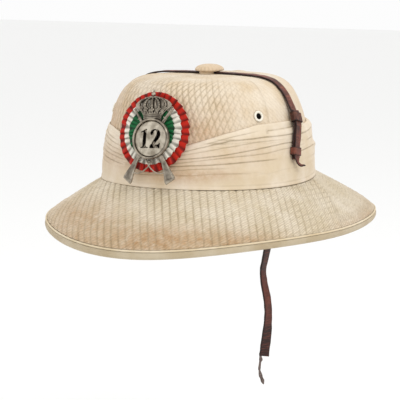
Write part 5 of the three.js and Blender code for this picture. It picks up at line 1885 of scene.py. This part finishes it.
def cast_metal(name, bright, dull, dirt, brushed):
    """Cast white metal, a tin alloy: grey and soft in its shine, brighter where it is rubbed, with
    dark dirt in the hollows between the raised parts. The mark shade darkens it too: painted shade
    on the plate's face behind the disc, and dirt on the rifle butts. Tarnish lies in patches of
    7 mm, and the casting has pits of 0.9 mm. Brushed lines, really under 0.1 mm apart, are drawn
    at 0.35."""
    material, tree, surface = finish(name)
    place = add(tree, "ShaderNodeTexCoord").outputs["Object"]
    tarnish = add(
        tree,
        "ShaderNodeTexNoise",
        {"Vector": place, "Scale": 1000 / 7, "Detail": 5.0, "Roughness": 0.6},
    )
    pits = add(tree, "ShaderNodeTexNoise", {"Vector": place, "Scale": 1000 / 0.9, "Detail": 3.0})
    dulled = add(tree, "ShaderNodeMapRange", {0: tarnish.outputs["Fac"], 1: 0.4, 2: 0.64})
    grey = add(
        tree,
        "ShaderNodeMix",
        {0: dulled.outputs[0], 6: to_linear(bright), 7: to_linear(dull)},
        data_type="RGBA",
    )
    hollow = add(
        tree, "ShaderNodeAmbientOcclusion", {"Distance": 0.003}, samples=8, only_local=True
    )
    shut = add(
        tree, "ShaderNodeMapRange", {0: hollow.outputs["AO"], 1: 0.35, 2: 0.9, 3: 0.9, 4: 0.0}
    )
    shade = add(tree, "ShaderNodeAttribute", attribute_name="shade").outputs["Fac"]
    dirt_and_shade = add(tree, "ShaderNodeMath", {0: shut.outputs[0], 1: shade}, operation="MAXIMUM")
    worn = add(
        tree,
        "ShaderNodeMix",
        {0: dirt_and_shade.outputs[0], 6: grey.outputs[2], 7: to_linear(dirt)},
        data_type="RGBA",
    )
    tree.links.new(worn.outputs[2], surface.inputs["Base Color"])
    rough = add(
        tree, "ShaderNodeMapRange", {0: tarnish.outputs["Fac"], 1: 0.35, 2: 0.65, 3: 0.3, 4: 0.5}
    )
    tree.links.new(rough.outputs[0], surface.inputs["Roughness"])
    if brushed:
        stretched = add(tree, "ShaderNodeMapping", {"Vector": place, "Scale": (1.0, 1.0, 0.06)})
        lines = add(
            tree,
            "ShaderNodeTexNoise",
            {"Vector": stretched.outputs[0], "Scale": 1000 / 0.35, "Detail": 3.0},
        )
        height = lines.outputs["Fac"]
    else:
        height = pits.outputs["Fac"]
    bump = add(tree, "ShaderNodeBump", {"Height": height, "Strength": 0.3, "Distance": 0.00012})
    tree.links.new(bump.outputs["Normal"], surface.inputs["Normal"])
    surface.inputs["Metallic"].default_value = 0.9
    return material


white_metal = cast_metal("cast_white_metal", "#afa595", "#71685c", "#18110c", False)
badge.data.materials.append(white_metal)
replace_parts(badge, "badge_frame")
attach(badge, "root")

# Disc. A domed plate of the same metal, brushed, with a plain number sawn through it, set in the
# rim. The badge's back shows through the number, painted dark for the shade behind the disc.
DISC_THICKNESS = 1.2
DISC_DOME = 1.6
FIGURE_HEIGHT = 17
FIGURE_SPREAD = 0.32
# Outlines of the figures 1 and 2, as shares of their height from the foot's middle.
FIGURE_ONE = [
    (-0.2, 0), (0.26, 0), (0.26, 0.05), (0.14, 0.09), (0.14, 1), (0.02, 1), (-0.06, 0.92),
    (-0.22, 0.86), (-0.22, 0.8), (-0.08, 0.83), (-0.08, 0.09), (-0.2, 0.05),
]
FIGURE_TWO = [
    (-0.28, 0), (0.28, 0), (0.3, 0.28), (0.25, 0.28), (0.21, 0.21), (0.12, 0.19), (-0.02, 0.19),
    (0.08, 0.31), (0.19, 0.44), (0.27, 0.57), (0.3, 0.7), (0.28, 0.82), (0.2, 0.93),
    (0.09, 0.985), (-0.03, 1), (-0.15, 0.97), (-0.25, 0.89), (-0.29, 0.79), (-0.26, 0.7),
    (-0.17, 0.66), (-0.09, 0.69), (-0.06, 0.77), (-0.1, 0.84), (-0.06, 0.91), (0, 0.93),
    (0.05, 0.9), (0.08, 0.82), (0.07, 0.69), (0.02, 0.56), (-0.06, 0.43), (-0.17, 0.25),
    (-0.28, 0.12),
]
disc_edge = badge_level + BADGE_PLATE + GAP
disc_radius = rim_inside - 2 * GAP
across_disc = [0.004, 0.15, 0.3, 0.45, 0.6, 0.75, 0.88, 0.96]
disc_profile = [(s * disc_radius, disc_edge + DISC_DOME * (1 - s**2)) for s in across_disc]
disc_profile += [(disc_radius, disc_edge + 0.1), (disc_radius, disc_edge + DISC_THICKNESS - 0.2)]
disc_profile += [
    (s * disc_radius, disc_edge + DISC_THICKNESS + DISC_DOME * (1 - s**2))
    for s in across_disc[::-1]
]
disc = loft("domed_disc", lathe(disc_profile, 96))
for outline, side in ((FIGURE_ONE, -1), (FIGURE_TWO, 1)):
    shape = [
        ((u + side * FIGURE_SPREAD) * FIGURE_HEIGHT, (v - 0.5) * FIGURE_HEIGHT) for u, v in outline
    ]
    saw = cast_form(shape, 0.5, BADGE_DEPTH + DISC_DOME + 3, 0.02)
    cut = disc.modifiers.new("saw", "BOOLEAN")
    cut.operation = "DIFFERENCE"
    cut.solver = "EXACT"
    cut.object = saw
    graph = bpy.context.evaluated_depsgraph_get()
    disc.data = bpy.data.meshes.new_from_object(disc.evaluated_get(graph))
    disc.modifiers.clear()
    bpy.data.objects.remove(saw)
disc = seat_casting([disc], "sawn_disc")
brushed_metal = cast_metal("brushed_white_metal", "#c8bfae", "#958b7b", "#18110c", True)
disc.data.materials.append(brushed_metal)
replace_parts(disc, "badge_disc")
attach(disc, "root")
